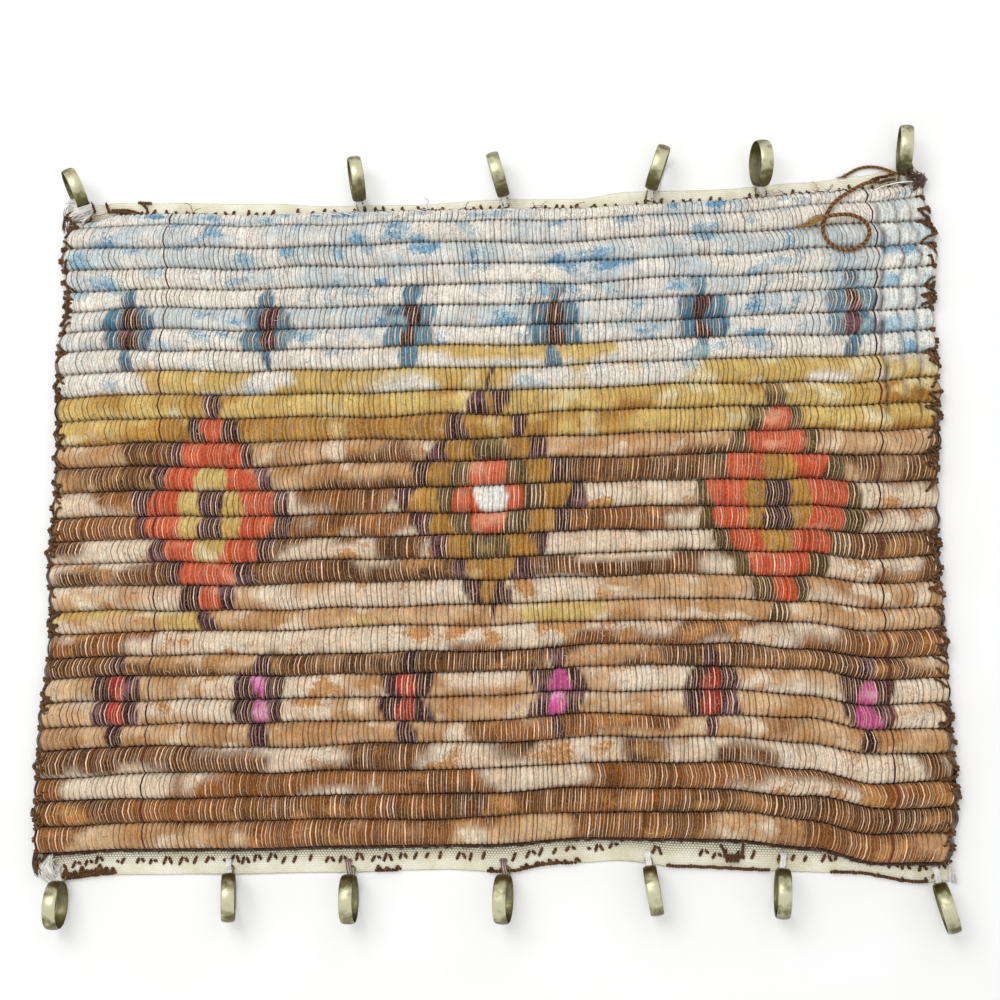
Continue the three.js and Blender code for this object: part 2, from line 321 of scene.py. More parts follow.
def woolFinish():
    material, bench, sockets = openMaterial("tapestryWool", 0.95, sheen=0.12, specular=0.1)
    grain = bench.group(woolGrain, Place=bench.objectPlace())
    patches = bench.group(
        rovingPatches, Weave=bench.uv("weave"), Fuzz=grain["Fuzz"], Clump=grain["Clump"],
        Base=bench.attribute("rovingBase"), Second=bench.attribute("rovingSecond"),
        Fleck=bench.attribute("rovingFleck"))
    grey = bench.add("ShaderNodeRGBToBW")
    bench.feed(grey.inputs[0], patches["Color"])
    pale = bench.span(grey.outputs[0], 0.18, 0.5)

    def between(dark, light):
        # a share that goes from its value on dark wool to the one on pale wool
        return bench.span(pale, 0.0, 1.0, dark, light)

    colour = toned(bench, patches["Color"], grain["Tone"])
    colour = bench.blend(bench.times(grain["Dark"], between(0.55, 0.24)), colour,
                         bench.blend(pale, shade("2e1c12"), shade("6a5c54")))
    colour = bench.blend(bench.times(grain["Pale"], between(0.38, 0.16)), colour,
                         bench.blend(pale, shade("dcab7c"), shade("f5f1ea")))
    firm = bench.attribute("rovingBase", "Alpha")        # 0 on the loose lumps, where no warp shows
    # the line between warps: a pale thread colour on dark wool, painted crease shade on pale wool
    line = bench.times(bench.times(patches["Between"], firm), between(0.44, 0.36))
    colour = bench.blend(line, colour, bench.blend(pale, shade("efc595"), shade("8c7468")))
    # painted shade in the creases at the warps, strongest on pale wool
    crease = bench.times(bench.times(patches["Crease"], firm), between(0.5, 0.95))
    colour = bench.blend(crease, colour, bench.blend(1.0, colour, shade("846254"), "MULTIPLY"))
    # painted shade in the grooves
    colour = bench.blend(bench.times(patches["GrooveShade"], 0.85), colour,
                         bench.blend(1.0, colour, shade("553022"), "MULTIPLY"))
    bench.feed(sockets["Base Color"], colour)
    height = bench.minus(grain["Height"], bench.times(patches["Crease"], 0.5))
    bench.feed(sockets["Normal"], bench.bump(height, 1.0, 0.0014))
    return material


def strandFinish(name, dark, pale, turns=8.0, roughness=0.85, sheen=0.15):
    # dark and pale are mixed by the "tint" that each strand carries
    material, bench, sockets = openMaterial(name, roughness, sheen=sheen, specular=0.2)
    spot = bench.objectPlace()
    spun = bench.group(spunStrand, Map=bench.uv("UVMap"), Place=spot, Turns=turns)
    colour = bench.blend(bench.attribute("tint", "Fac"), shade(dark), shade(pale))
    bench.feed(sockets["Base Color"], toned(bench, colour, spun["Tone"]))
    bench.feed(sockets["Normal"], bench.bump(spun["Height"], 0.6, 0.0003))
    return material


# ---- strands of yarn and thread
def roundRoute(points, step):
    # a centripetal Catmull-Rom curve through the points, as the part's own route, with even steps
    points = [Vector(p) for p in points]
    ends = [points[0] * 2 - points[1]] + points + [points[-1] * 2 - points[-2]]
    dense = []
    for p0, p1, p2, p3 in zip(ends, ends[1:], ends[2:], ends[3:]):
        t1 = (p1 - p0).length ** 0.5
        t2 = t1 + (p2 - p1).length ** 0.5
        t3 = t2 + (p3 - p2).length ** 0.5
        for i in range(16):
            t = t1 + (t2 - t1) * i / 16
            a1 = p0 * ((t1 - t) / t1) + p1 * (t / t1)
            a2 = p1 * ((t2 - t) / (t2 - t1)) + p2 * ((t - t1) / (t2 - t1))
            a3 = p2 * ((t3 - t) / (t3 - t2)) + p3 * ((t - t2) / (t3 - t2))
            b1 = a1 * ((t2 - t) / t2) + a2 * (t / t2)
            b2 = a2 * ((t3 - t) / (t3 - t1)) + a3 * ((t - t1) / (t3 - t1))
            dense.append(b1 * ((t2 - t) / (t2 - t1)) + b2 * ((t - t1) / (t2 - t1)))
    dense.append(points[-1])
    reach = [0.0]
    for a, b in zip(dense, dense[1:]):
        reach.append(reach[-1] + (b - a).length)
    count = max(2, round(reach[-1] / step))
    even = []
    for i in range(count + 1):
        at = reach[-1] * i / count
        k = min(len(dense) - 2, max(0, bisect.bisect_right(reach, at) - 1))
        rest = (at - reach[k]) / max(1e-9, reach[k + 1] - reach[k])
        even.append(dense[k].lerp(dense[k + 1], rest))
    return even


def routeLength(points):
    return sum((b - a).length for a, b in zip(points, points[1:]))


def plied(points, diameter, pitch, plies=2, start=0.0):
    # the strands that are twisted round each other along a route
    offset = diameter * 0.25
    strands = [[] for ply in range(plies)]
    side = Vector((0, 0, 1))
    travelled = 0.0
    for i, point in enumerate(points):
        ahead = points[min(i + 1, len(points) - 1)] - points[max(i - 1, 0)]
        ahead.normalize()
        side = side - ahead * side.dot(ahead)
        if side.length < 1e-6:
            side = ahead.orthogonal()
        side.normalize()
        other = ahead.cross(side)
        if i:
            travelled += (point - points[i - 1]).length
        for ply in range(plies):
            angle = start + 2 * math.pi * (travelled / pitch + ply / plies)
            strands[ply].append(point + (side * math.cos(angle) + other * math.sin(angle)) * offset)
    return strands


def strandMesh(name, strands, radius, sides, tints, swell):
    # every strand becomes a closed tube of one mesh, and each point keeps its tint from 0 to 1
    curve = bpy.data.curves.new(name, "CURVE")
    curve.dimensions = "3D"
    curve.bevel_depth = radius
    curve.bevel_resolution = (sides - 4) // 2
    curve.use_fill_caps = False
    for number, strand in enumerate(strands):
        spline = curve.splines.new("POLY")
        spline.points.add(len(strand) - 1)
        for i, (knot, spot) in enumerate(zip(spline.points, strand)):
            knot.co = (*spot, 1.0)
            knot.radius = swell(number, i, len(strand)) if swell else 1.0
    holder = bpy.data.objects.new(name, curve)
    scene.collection.objects.link(holder)
    depsgraph = bpy.context.evaluated_depsgraph_get()
    mesh = bpy.data.meshes.new_from_object(holder.evaluated_get(depsgraph))
    bpy.data.objects.remove(holder)
    bpy.data.curves.remove(curve)
    bm = bmesh.new()
    bm.from_mesh(mesh)
    tint = bm.verts.layers.float.new("tint")
    bm.verts.ensure_lookup_table()
    index = 0
    for number, strand in enumerate(strands):
        for i in range(len(strand)):
            value = 0.5 if tints is None else tints[number]
            value = value[i] if isinstance(value, (list, tuple)) else value
            for corner in range(sides):
                bm.verts[index][tint] = value
                index += 1
    bmesh.ops.holes_fill(bm, edges=[e for e in bm.edges if e.is_boundary], sides=sides + 1)
    bmesh.ops.recalc_face_normals(bm, faces=bm.faces)
    for face in bm.faces:
        face.smooth = True
    bm.to_mesh(mesh)
    bm.free()
    mesh.name = name
    piece = bpy.data.objects.new(name, mesh)
    scene.collection.objects.link(piece)
    return piece


def meshPiece(name, bm, smooth=True):
    for face in bm.faces:
        face.smooth = smooth
    mesh = bpy.data.meshes.new(name)
    bm.to_mesh(mesh)
    bm.free()
    piece = bpy.data.objects.new(name, mesh)
    scene.collection.objects.link(piece)
    return piece


def setMap(bm, layer, places):
    # writes each point's place into a map of the mesh
    for polygon in bm.faces:
        for loop in polygon.loops:
            loop[layer].uv = places[loop.vert]


def finishPiece(piece, material, slotName, *nodes):
    piece.data.materials.append(material)
    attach(piece, "root")
    if nodes:
        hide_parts(*nodes)
    return piece


def strandPiece(name, strands, radius, sides, tints, material, slotName, *nodes, swell=None):
    piece = strandMesh(name, strands, radius * mm, sides, tints, swell)
    return finishPiece(piece, material, slotName, *nodes)


brownYarn = strandFinish("brownYarn", "3c2212", "a27340", turns=14.0)
goldenFibre = strandFinish("goldenFibre", "5e3c1a", "c79c5a", turns=0.0)

# ---- the two loose yarn tails
yarnTails = {
    "yarn_tail_long": {
        "name": "brownYarnLong", "diameter": 3.3, "pitch": 4.6,
        "untwisted": 34, "hairs": 120, "tuft": goldenFibre,      # the last points, where the plies part
        "route": [
            (346, 287.5, 3.2), (340, 286.6, 4.8), (333.5, 283.8, 8.4), (326, 279.4, 11.6),
            (317, 274, 13), (308.5, 267.8, 14.6), (301.5, 259.8, 16.3), (296.6, 249.6, 15.6),
            (295, 239, 15.6), (300, 229.5, 15.2), (310, 223, 15.8), (321, 223, 15.8),
            (330, 229, 15.2), (334, 238.5, 15.6), (329.5, 248, 15.6), (319, 253, 16.4),
            (306, 252.6, 19), (294, 250.4, 19.6), (285, 247, 17.4), (279, 244.5, 16)],
    },
    "yarn_tail_short": {
        "name": "brownYarnShort", "diameter": 2.6, "pitch": 4.0,
        "untwisted": 6, "hairs": 10, "tuft": brownYarn,
        "route": [
            (375, 286, 3.2), (372, 289.4, 6.4), (366, 290.8, 8.6), (359.5, 292.6, 7.2),
            (353, 297, 4.2), (346, 300.4, 1.8), (337, 301.4, 1.5), (329, 300, 1.5),
            (322, 296.4, 2), (316, 292.8, 3)],
    },
}


def tuft(name, route, reach, count, spread, thick, seed, material):
    # loose fibres round the last stretch of a yarn and past its cut end
    draw = random.Random(seed)
    hairs = []
    for i in range(count):
        side, up, start = draw.gauss(0, 0.5), draw.uniform(-0.3, 0.6), draw.uniform(0, 0.3)
        hair = []
        for k in range(9):
            t = mix(start, 1.0, k / 8)
            at = len(route) - 1 - int(reach * (1 - t))
            ahead = (route[min(at + 2, len(route) - 1)] - route[max(0, at - 2)]).normalized()
            across = Vector((-ahead.y, ahead.x, 0))
            full = spread * math.sin(math.pi * min(1.0, t * 0.9 + 0.05)) ** 0.7
            past = (ahead * 0.6 + Vector((-0.4, 0.15, 0))) * max(0.0, t - 0.86) * draw.uniform(10, 60) * mm
            hair.append(route[at] + across * side * full + Vector((0, 0, up * full)) + past)
        hairs.append(hair)
    return strandPiece(name, hairs, thick, 4, [draw.uniform(0.35, 1.0) for hair in hairs], material, "yarn",
                       swell=lambda number, i, count: 1.0 - 0.08 * i)


for node, tail in yarnTails.items():
    thick, untwisted = tail["diameter"], tail["untwisted"]
    route = roundRoute([place(*p) for p in tail["route"]], 0.6 * mm)
    yarn = strandPiece(tail["name"], plied(route, thick * mm, tail["pitch"] * mm), thick * 0.315, 8,
                       [0.2, 0.8], brownYarn, "yarn", node,
                       swell=lambda number, i, count: mix(0.5, 1.0, min(1.0, (count - 1 - i) / untwisted)))
    fray = tuft(tail["name"] + "Fray", route, untwisted, tail["hairs"], thick * 0.8 * mm, 0.32, 3,
                tail["tuft"])
    print(node, "length mm", round(routeLength(route) / mm, 1))
print("yarn tails made")

# ---- the cloth's own measures, as the part has them
cloth = {
    "heights": (11.5, 20.5, 20, 19.5, 18, 20, 18.5, 20, 21.5, 21.5, 21.5, 21, 22.5, 22.5,
                21, 19.5, 20, 22, 18, 21.5, 18, 20.5, 20.5, 19.5, 22, 21, 20, 22.5),
    "crests": (9.5, 13.5, 13, 13.5, 13, 14, 13.5, 14, 14.5, 14, 14.5, 14, 15, 14.5,
               14, 13.5, 14, 14.5, 13, 14, 13, 14, 14, 13.5, 14.5, 14, 13.5, 14),
    "groove": 5.5,
    "scallop": 2.5,
    "swells": ((0.07, 41, 9), (0.05, 17, -13)),       # share of the height, length along, length across
    "top": ((-384, 281.5), (-358, 281.5), (-334, 281.5), (-290, 281), (-200, 276.5), (-100, 276),
            (0, 274), (90, 272), (200, 274), (330, 279), (384, 281)),
    "cornerDip": (-334, -358, 6.5),      # where the first rib narrows to the left corner, and how much
    "bottom": ((-384, -285), (-300, -281), (-200, -280), (-110, -277.5), (0, -276), (90, -270),
               (200, -271), (265, -277), (322, -289), (384, -288)),
    "left": ((-285, -384), (-240, -387), (-190, -386), (-90, -380), (-40, -384), (50, -381),
             (150, -385), (200, -379), (250, -384), (283, -377)),
    "right": ((-289, 376), (-236, 384), (-130, 381), (-40, 379), (10, 380), (100, 386), (170, 384),
              (225, 389), (281, 380)),
    "ledges": (31, 24),          # how far the wool lies on the top and the bottom tape
    # what the looks add to the part's shape
    "fullness": 0.32,            # 1 is a sine rib, smaller is fuller
    "looseFullness": 0.5,        # the same on the loose lumps
    "pinch": (0.07, 0.23),       # how deep a warp draws the wool in, where it pulls least and most
    "notch": (1.2, 1.6),         # the notch under a warp in a groove, and what the pull adds to it
    "overhang": 1.1,             # how far the wool between two warps leans over a groove
    "warps": 166,
    "columnsPerWarp": 3,
    "rowShares": (0.0, 0.05, 0.18, 0.5, 0.82, 0.95),
    "wander": 1.2,
    "bow": 0.8,
    "shoulder": 12.0,            # from the selvedge to where a rib has its full height
    "lumpShoulder": 5.5,         # the same where a rib's own wool shows at its end
    "cordHeight": 4.6,           # the bound edge outside the rib's end
}
ribCount = len(cloth["heights"])
ribStarts = [sum(cloth["heights"][:i]) for i in range(ribCount + 1)]
clothHeight = ribStarts[-1]
warpCount = cloth["warps"]


def edgeAt(table, at):
    # the measure of an edge at a place, eased between the entries of its table
    if at <= table[0][0]:
        return table[0][1]
    for (a, edgeA), (b, edgeB) in zip(table, table[1:]):
        if at <= b:
            return mix(edgeA, edgeB, easeStep(a, b, at))
    return table[-1][1]


draw = random.Random(11)
warpGaps = [draw.choice((0.75, 0.85, 0.95, 1.0, 1.05, 1.15, 1.3)) for k in range(warpCount)]
warpPlaces = [0.0]
for gap in warpGaps:
    warpPlaces.append(warpPlaces[-1] + gap)
warpPlaces = [p / warpPlaces[-1] for p in warpPlaces]


def acrossShare(warp):
    # where a warp lies between the two selvedges, from 0 to 1
    k = min(warpCount - 1, max(0, int(warp)))
    return mix(warpPlaces[k], warpPlaces[k + 1], warp - k)


looseLumps = {
    "warps": (155.6, 156.8),     # where the packed, lumpy wool begins, near the upper right corner
    "creases": (156.6, 160.2, 163.0, 166.4),
    "rows": (0.7, 1.5, 9.6, 11.2),
    "whiteRows": (8.7, 7.6),
}


def ribAt(row):
    # a row counts ribs from the top, and its fraction goes down over one rib
    rib = min(ribCount - 1, max(0, int(row)))
    return rib, row - rib


def looseness(warp, row):
    # 1 in the lumpy wool, where few warps show
    top, full, fading, bottom = looseLumps["rows"]
    sideways = easeStep(*looseLumps["warps"], warp)
    return sideways * easeStep(top, full, row) * (1 - easeStep(fading, bottom, row))


def pillow(warp, row):
    # from 0 in a crease between two loose lumps to 1 on top of one, and the lump's number
    lane = int(row * 2) / 2      # every rib has two rows of them
    creases = [spot + 0.9 * wave(lane * 2.7, spot, 8.0) for spot in looseLumps["creases"]]
    number = min(3, max(1, bisect.bisect_right(creases, warp)))
    share = (warp - creases[number - 1]) / (creases[number] - creases[number - 1])
    return math.sin(math.pi * clamp(share)) ** 0.6, number


def lumpyEnd(side, rib):
    # whether a rib's own wool shows at its end, instead of the brown binding
    return wave(rib * 1.73, side * 9.0, 3.0) > (0.18 if side < 0 else -0.08) + 0.2 * (rib > 9)


def flatPlace(warp, row):
    # where a warp crosses a height on the cloth: x, y, distance down and the x of both selvedges
    rib, share = ribAt(row)
    down = ribStarts[rib] + share * cloth["heights"][rib]
    nominal = mix(cloth["top"][0][1], cloth["bottom"][0][1], down / clothHeight)
    stand = cloth["scallop"] * math.sin(math.pi * share)
    left = edgeAt(cloth["left"], nominal) - stand * (1 + 0.8 * wave(rib * 2.3, 1.0, 14.0))
    right = edgeAt(cloth["right"], nominal) + stand * (1 + 0.8 * wave(rib * 2.3, 5.0, 14.0))
    x = mix(left, right, acrossShare(warp))
    inside = easeStep(0, 14, min(x - left, right - x))
    curl = wave(warp * 0.06, rib * 0.83, 4.1) * 2.2 * math.sin(math.pi * share)
    lean = wave(warp * 0.06, row * 0.33, 9.7) * 1.6 + 1.1 * wave(warp * 0.45, row * 1.7, 3.3)
    x += (curl + lean) * cloth["bow"] * inside
    bottomWave = cloth["wander"] * wave(x * 0.016, (rib + 1) * 1.71, 2.2) * (rib + 1 < ribCount)
    topWave = cloth["wander"] * wave(x * 0.016, rib * 1.71, 2.2) * (rib > 0)
    y = mix(edgeAt(cloth["top"], x), edgeAt(cloth["bottom"], x), down / clothHeight)
    dipFrom, dipTo, depth = cloth["cornerDip"]
    y -= depth * easeStep(-dipFrom, -dipTo, -x) * max(0.0, 1 - down / cloth["heights"][0])
    y += 2.2 * mix(topWave, bottomWave, share)
    y += 0.55 * wave(warp * 0.9, row * 2.0, 31.0) * inside * (0.2 < row < ribCount - 0.2)
    return x, y, down, left, right


def pull(warp, rib):
    # from 0 to 1: how hard the warps draw the wool in, which changes slowly over the cloth
    return clamp(0.5 + 1.1 * wave(warp * 0.05, rib * 0.6, 21.0))


def woolTop(warp, row, lift, pinched):
    # a point on the wool's face; pinched is 1 at a warp and 0 between two of them
    x, y, down, left, right = flatPlace(warp, row)
    rib, share = ribAt(row)
    loose = looseness(warp, row)
    profile = math.sin(math.pi * share) ** mix(cloth["fullness"], cloth["looseFullness"], loose)
    floorZ = cloth["groove"] + 1.5 * (0 < row < ribCount)
    rise = (cloth["crests"][rib] - floorZ) * profile
    swell = sum(s * math.sin(x / a + down / b) for s, a, b in cloth["swells"])
    lump = 0.07 * wave(x * 0.05, rib * 3.3, 1.0) + 0.08 * wave(warp * 0.8, rib * 2.1, 7.0)
    lump += 0.06 * wave(warp * 1.9, row * 3.1, 5.5)
    depth = mix(*cloth["pinch"], pull(warp, rib)) * (1 + 0.9 * wave(warp * 0.83, rib * 1.9, 5.0))
    depth = mix(depth, 0.0, loose)
    rise *= 1 - loose * (0.75 - 0.9 * pillow(warp, row)[0])
    rise *= 1 - 0.42 * loose * (1 - abs(2 * share - 1)) ** 3
    rise *= (1 + swell + lump) * (1 - depth * pinched + 0.03 * (1 - pinched))
    # between two warps the wool bulges over the groove, and under each warp there is a notch
    notch, deeper = cloth["notch"]
    z = floorZ + rise - (notch + deeper * pull(warp, rib)) * pinched * (1 - profile)
    if 0 < share < 1:
        overhang = cloth["overhang"] if share < 0.5 else -cloth["overhang"]
        y += overhang * (0.4 - pinched) * (1 - profile)
    nearest = max(0.0, min(x - left, right - x))
    side = 1 if x - left > right - x else -1
    shoulder = cloth["lumpShoulder"] if lumpyEnd(side, rib) else cloth["shoulder"]
    if nearest < shoulder:
        inward = 1 - nearest / shoulder
        edgeZ = cloth["cordHeight"] + 0.9 * math.sin(math.pi * share)
        z = edgeZ + (z - edgeZ) * max(0.0, 1 - (inward * 1.25) ** 2.6) ** 0.5
        z -= 2.2 * easeStep(2.0, 0.0, nearest) if nearest < 2.0 else 0.0
    if row <= 0 or row >= ribCount:
        z -= 1.2
    return place(x, y, z + lift)


def woolUnder(warp, row):
    # a point on its back, which comes down off the tapes to the floor
    x, y, down, left, right = flatPlace(warp, row)
    rib, share = ribAt(row)
    onTop = 1 - easeStep(cloth["ledges"][0], cloth["ledges"][0] + 4, down)
    onBottom = easeStep(clothHeight - cloth["ledges"][1] - 4, clothHeight - cloth["ledges"][1], down)
    z = 0.2 + 1.35 * max(onTop, onBottom)
    z += 2.0 * (1 - math.sin(math.pi * share) ** 0.62)
    nearest = min(x - left, right - x)
    z += 1.2 * (1 - easeStep(0, 9, nearest))
    return place(x, y, z)


# ---- the generic banded design: every kind of roving has a main, a second and a fleck colour
rovings = {
    "cloud": ("faf6ef", "efeae4", "bfd2dc"),
    "sky": ("f3f1ed", "cddae2", "6aa4cc"),
    "haze": ("efedea", "cddae0", "90bbd6"),
    "ice": ("e9f0f1", "c3d9e6", "78aed6"),
    "lake": ("b4d4e8", "84b6d8", "4e96c8"),
    "rose": ("f5e6d4", "ead2b8", "cd9863"),
    "sand": ("e2be96", "c08e5c", "f3e0c6"),
    "straw": ("e6ca82", "d3b066", "f0e2b8"),
    "ochre": ("cd9c48", "ab7a34", "e2c586"),
    "amber": ("965a24", "6c4116", "c08644"),
    "brown": ("74471f", "513115", "a6763e"),
    "umber": ("55331f", "392214", "7c583a"),
    "olive": ("63512a", "42371b", "8c7746"),
    "coral": ("e2623f", "c84c2c", "ee9a78"),
    "red": ("bb3530", "8c2620", "d66a58"),
    "plum": ("43202f", "2a1420", "765064"),
    "teal": ("4b8cab", "33698a", "9dc4d2"),
    "pink": ("e368b0", "c94f96", "f0aad2"),
    "white": ("fafbf8", "f0f3f1", "d2dfe4"),
}
rovingColours = {name: [shade(code) for code in codes] for name, codes in rovings.items()}

# one row of the design for each rib: its roving, the one that comes and goes in it, and how much
bands = (
    ("cloud", "sky", 0.55), ("sky", "cloud", 0.5), ("haze", "sky", 0.45), ("cloud", "sky", 0.5),
    ("cloud", "haze", 0.5), ("sky", "haze", 0.4), ("cloud", "sky", 0.55), ("cloud", "straw", 0.4),
    ("straw", "cloud", 0.35), ("straw", "ochre", 0.4), ("ochre", "straw", 0.5), ("sand", "brown", 0.45),
    ("brown", "sand", 0.45), ("rose", "amber", 0.5), ("amber", "rose", 0.5), ("rose", "brown", 0.5),
    ("brown", "rose", 0.5), ("rose", "sand", 0.45), ("sand", "straw", 0.4), ("rose", "amber", 0.45),
    ("brown", "sand", 0.35), ("rose", "sand", 0.4), ("sand", "rose", 0.45), ("sand", "amber", 0.5),
    ("rose", "brown", 0.45), ("amber", "rose", 0.44), ("brown", "amber", 0.5), ("amber", "sand", 0.42),
)
# stepped diamonds: the middle's x and rib, the half-width lost per rib and the reach of each colour
diamonds = [
    {"x": -238, "rib": 14.0, "step": 15.5,
     "rings": (("plum", 5.0), ("coral", 4.1), ("straw", 2.2), ("plum", 1.2))},
    {"x": 6, "rib": 13.5, "step": 16.5,
     "rings": (("plum", 5.1), ("ochre", 4.2), ("olive", 2.9), ("coral", 1.9), ("white", 0.8))},
    {"x": 250, "rib": 14.0, "step": 15.5,
     "rings": (("olive", 5.0), ("coral", 4.1), ("ochre", 2.2), ("plum", 1.2))},
]
for number in range(6):
    # a row of small ones above and another below
    diamonds.append({"x": -318 + 127 * number, "rib": 6.0, "step": 15.0,
                     "rings": (("teal", 1.9), ("plum", 0.95))})
    diamonds.append({"x": -318 + 127 * number, "rib": 22.0, "step": 15.0,
                     "rings": (("plum", 1.9), ("pink" if number % 2 else "red", 0.95))})


def blendRoving(first, second, share):
    return [tuple(mix(a, b, share) for a, b in zip(one, other)) for one, other in zip(first, second)]


def rovingAt(x, row):
    # the three colours of the wool at a place
    rib, share = ribAt(min(row, ribCount - 1e-4))
    main, guest, amount = bands[rib]
    drift = (wave(x * 0.011 + rib * 5.1, rib * 9.7 + share * 0.7, 0.5)
             + 0.3 * wave(x * 0.05, rib * 3.1 + share, 2.5))
    guestShare = easeStep(0.02, 0.26, drift + 0.9 * (amount - 0.5))
    colours = blendRoving(rovingColours[main], rovingColours[guest], guestShare)
    for diamond in diamonds:
        away = abs(rib + 0.5 - diamond["rib"])
        if away > diamond["rings"][0][1]:
            continue
        side = 1 if x > diamond["x"] else -1
        bulge = 2.6 * math.sin(math.pi * share) - 1.6
        for number, (ring, reach) in enumerate(diamond["rings"]):
            half = (reach - away) * diamond["step"]
            if half <= 0:
                continue
            slant = 20 * wave(rib * 3.7 + side * 9.1, number * 5.3, diamond["x"] * 0.1) * (share - 0.5)
            uneven = 5 * wave(rib * 2.9 + side * 4.3, number * 3.7, diamond["x"] * 0.07)
            edge = half + slant + uneven + bulge + 1.5 * wave(share * 5, rib + x * 0.1, side)
            cover = easeStep(-1.0, 1.0, edge - abs(x - diamond["x"]))
            if cover > 0:
                colours = blendRoving(colours, rovingColours[ring], cover)
    return colours


def paleness(x, row):
    # from 0 on dark wool to 1 on pale wool
    red, green, blue, alpha = rovingAt(x, row)[0]
    return easeStep(0.2, 0.52, 0.3 * red + 0.59 * green + 0.11 * blue)


def setWool(vert, layers, uvs, warp, row):
    # gives a point of the wool its three colours, and how firmly the warps hold it
    x, y, down, left, right = flatPlace(warp, row)
    bound = 0.0 if lumpyEnd(math.copysign(1, x), int(row)) else easeStep(6.5, 3.5, min(x - left, right - x))
    colours = blendRoving(rovingAt(x, row), rovingColours["umber"], 0.9 * bound)
    loose = looseness(warp, row)
    if loose > 0:
        full, number = pillow(warp, row)
        tint = wave(int(row * 2) * 1.7, number * 2.7, 4.0)
        lump = blendRoving(rovingColours["white"], rovingColours["ice"], easeStep(-0.1, 0.3, tint))
        lump = blendRoving(lump, rovingColours["lake"], easeStep(0.28, 0.42, tint))
        colours = blendRoving(colours, lump, 0.94 * loose * easeStep(*looseLumps["whiteRows"], row))
        # plum in the creases between the loose lumps, as painted shade
        colours = blendRoving(colours, rovingColours["plum"], 0.8 * loose * (1 - full) ** 2)
    for layer, colour in zip(layers, colours):
        vert[layer] = (*colour[:3], 1 - loose)
    uvs[vert] = (warp, row)


def makeWool():
    bm = bmesh.new()
    layers = [bm.verts.layers.float_color.new(n) for n in ("rovingBase", "rovingSecond", "rovingFleck")]
    weave = bm.loops.layers.uv.new("weave")
    uvs = {}
    per, shares = cloth["columnsPerWarp"], cloth["rowShares"]
    columns, rows = warpCount * per, ribCount * len(shares)
    face = bmesh.ops.create_grid(bm, x_segments=columns, y_segments=rows, size=1.0)["verts"]
    for vert in face:
        column = round((vert.co.x + 1) / 2 * columns)
        line = round((1 - vert.co.y) / 2 * rows)
        warp = column / per
        rib, part = divmod(line, len(shares))
        row = rib + shares[part] if rib < ribCount else float(ribCount)
        setWool(vert, layers, uvs, warp, row)
        pinched = 1.0 if column % per == 0 else 0.0
        vert.co = woolTop(warp, row, 0.0, pinched)
    back = bmesh.ops.create_grid(bm, x_segments=columns // per, y_segments=ribCount * 2, size=1.0)["verts"]
    bmesh.ops.reverse_faces(bm, faces=list({f for v in back for f in v.link_faces}))
    for vert in back:
        warp = round((vert.co.x + 1) / 2 * warpCount)
        row = round((1 - vert.co.y) * ribCount) / 2
        setWool(vert, layers, uvs, warp, row)
        vert.co = woolUnder(warp, row)
    bmesh.ops.bridge_loops(bm, edges=[e for e in bm.edges if e.is_boundary])
    setMap(bm, weave, uvs)
    return meshPiece("woolCloth", bm)


woolCloth = finishPiece(makeWool(), woolFinish(), "wool", "tapestry_cloth")
print("wool cloth made,", len(woolCloth.data.polygons), "faces")


# ---- warps over the wool, and the thin picks that tie them down in the grooves
warpSetup = {
    "radius": 0.47,
    "stainedRadius": 0.78,
    "stained": (19, 155),        # the two that are dark from top to bottom
    "stainedLift": 0.9,
    "looseSink": 3.0,            # how deep all of them go where the wool is loose
    # the dark colour is painted shade, for warps that sink into the creases of pale wool
    "dark": "5a3e38",
    "pale": "ffdcbe",
}


def warpStrands(wanted):
    strands, tints, widths = [], [], []
    rows = [rib + share for rib in range(ribCount) for share in cloth["rowShares"]] + [float(ribCount)]
    for warp in range(1, warpCount):
        if not wanted(warp):
            continue
        strand, tint, width = [], [], []
        for row in rows:
            rib, share = ribAt(row)
            x = flatPlace(warp, row)[0]
            pale = paleness(x, row)
            single = wave(warp * 1.37, rib * 0.9, 6.0)
            lift = 0.35 - 0.95 * pale + 0.5 * pale * pull(warp, rib) + (0.8 + 0.1 * pale) * single
            lift += warpSetup["stainedLift"] if warp in warpSetup["stained"] else 0.0
            lift -= warpSetup["looseSink"] * looseness(warp, row) * min(1.0, 2 * pillow(warp, row)[0])
            strand.append(woolTop(warp, row, -0.4 if share == 0 else lift, 1.0))
            # warps on pale wool get the dark colour, as painted shade of the crease they sink into; proud
            # ones stay pale
            tint.append(clamp(0.78 - 0.78 * pale + 1.0 * single))
            thick = mix(0.66 + 0.6 * math.sin(math.pi * share), 0.68, pale)
            width.append(thick * (1 + 1.1 * wave(warp * 2.3, rib * 1.3, 17.0)))
        strands.append(strand)
        tints.append(tint)
        widths.append(width)
    return strands, tints, widths


warpThread = strandFinish("warpThread", warpSetup["dark"], warpSetup["pale"], turns=300.0)
for name, wanted in (("warpThreadsOdd", lambda k: k % 2 == 1), ("warpThreadsEven", lambda k: k % 2 == 0)):
    strands, tints, widths = warpStrands(lambda k: wanted(k) and k not in warpSetup["stained"])
    strandPiece(name, strands, warpSetup["radius"], 4, tints, warpThread, "wool",
                swell=lambda number, i, count: widths[number][i])
strands, tints, widths = warpStrands(lambda k: k in warpSetup["stained"])
stainedThread = strandFinish("stainedWarpThread", "3c181e", "7a3a30", turns=300.0)
strandPiece("warpThreadsStained", strands, warpSetup["stainedRadius"], 4, tints, stainedThread, "wool")

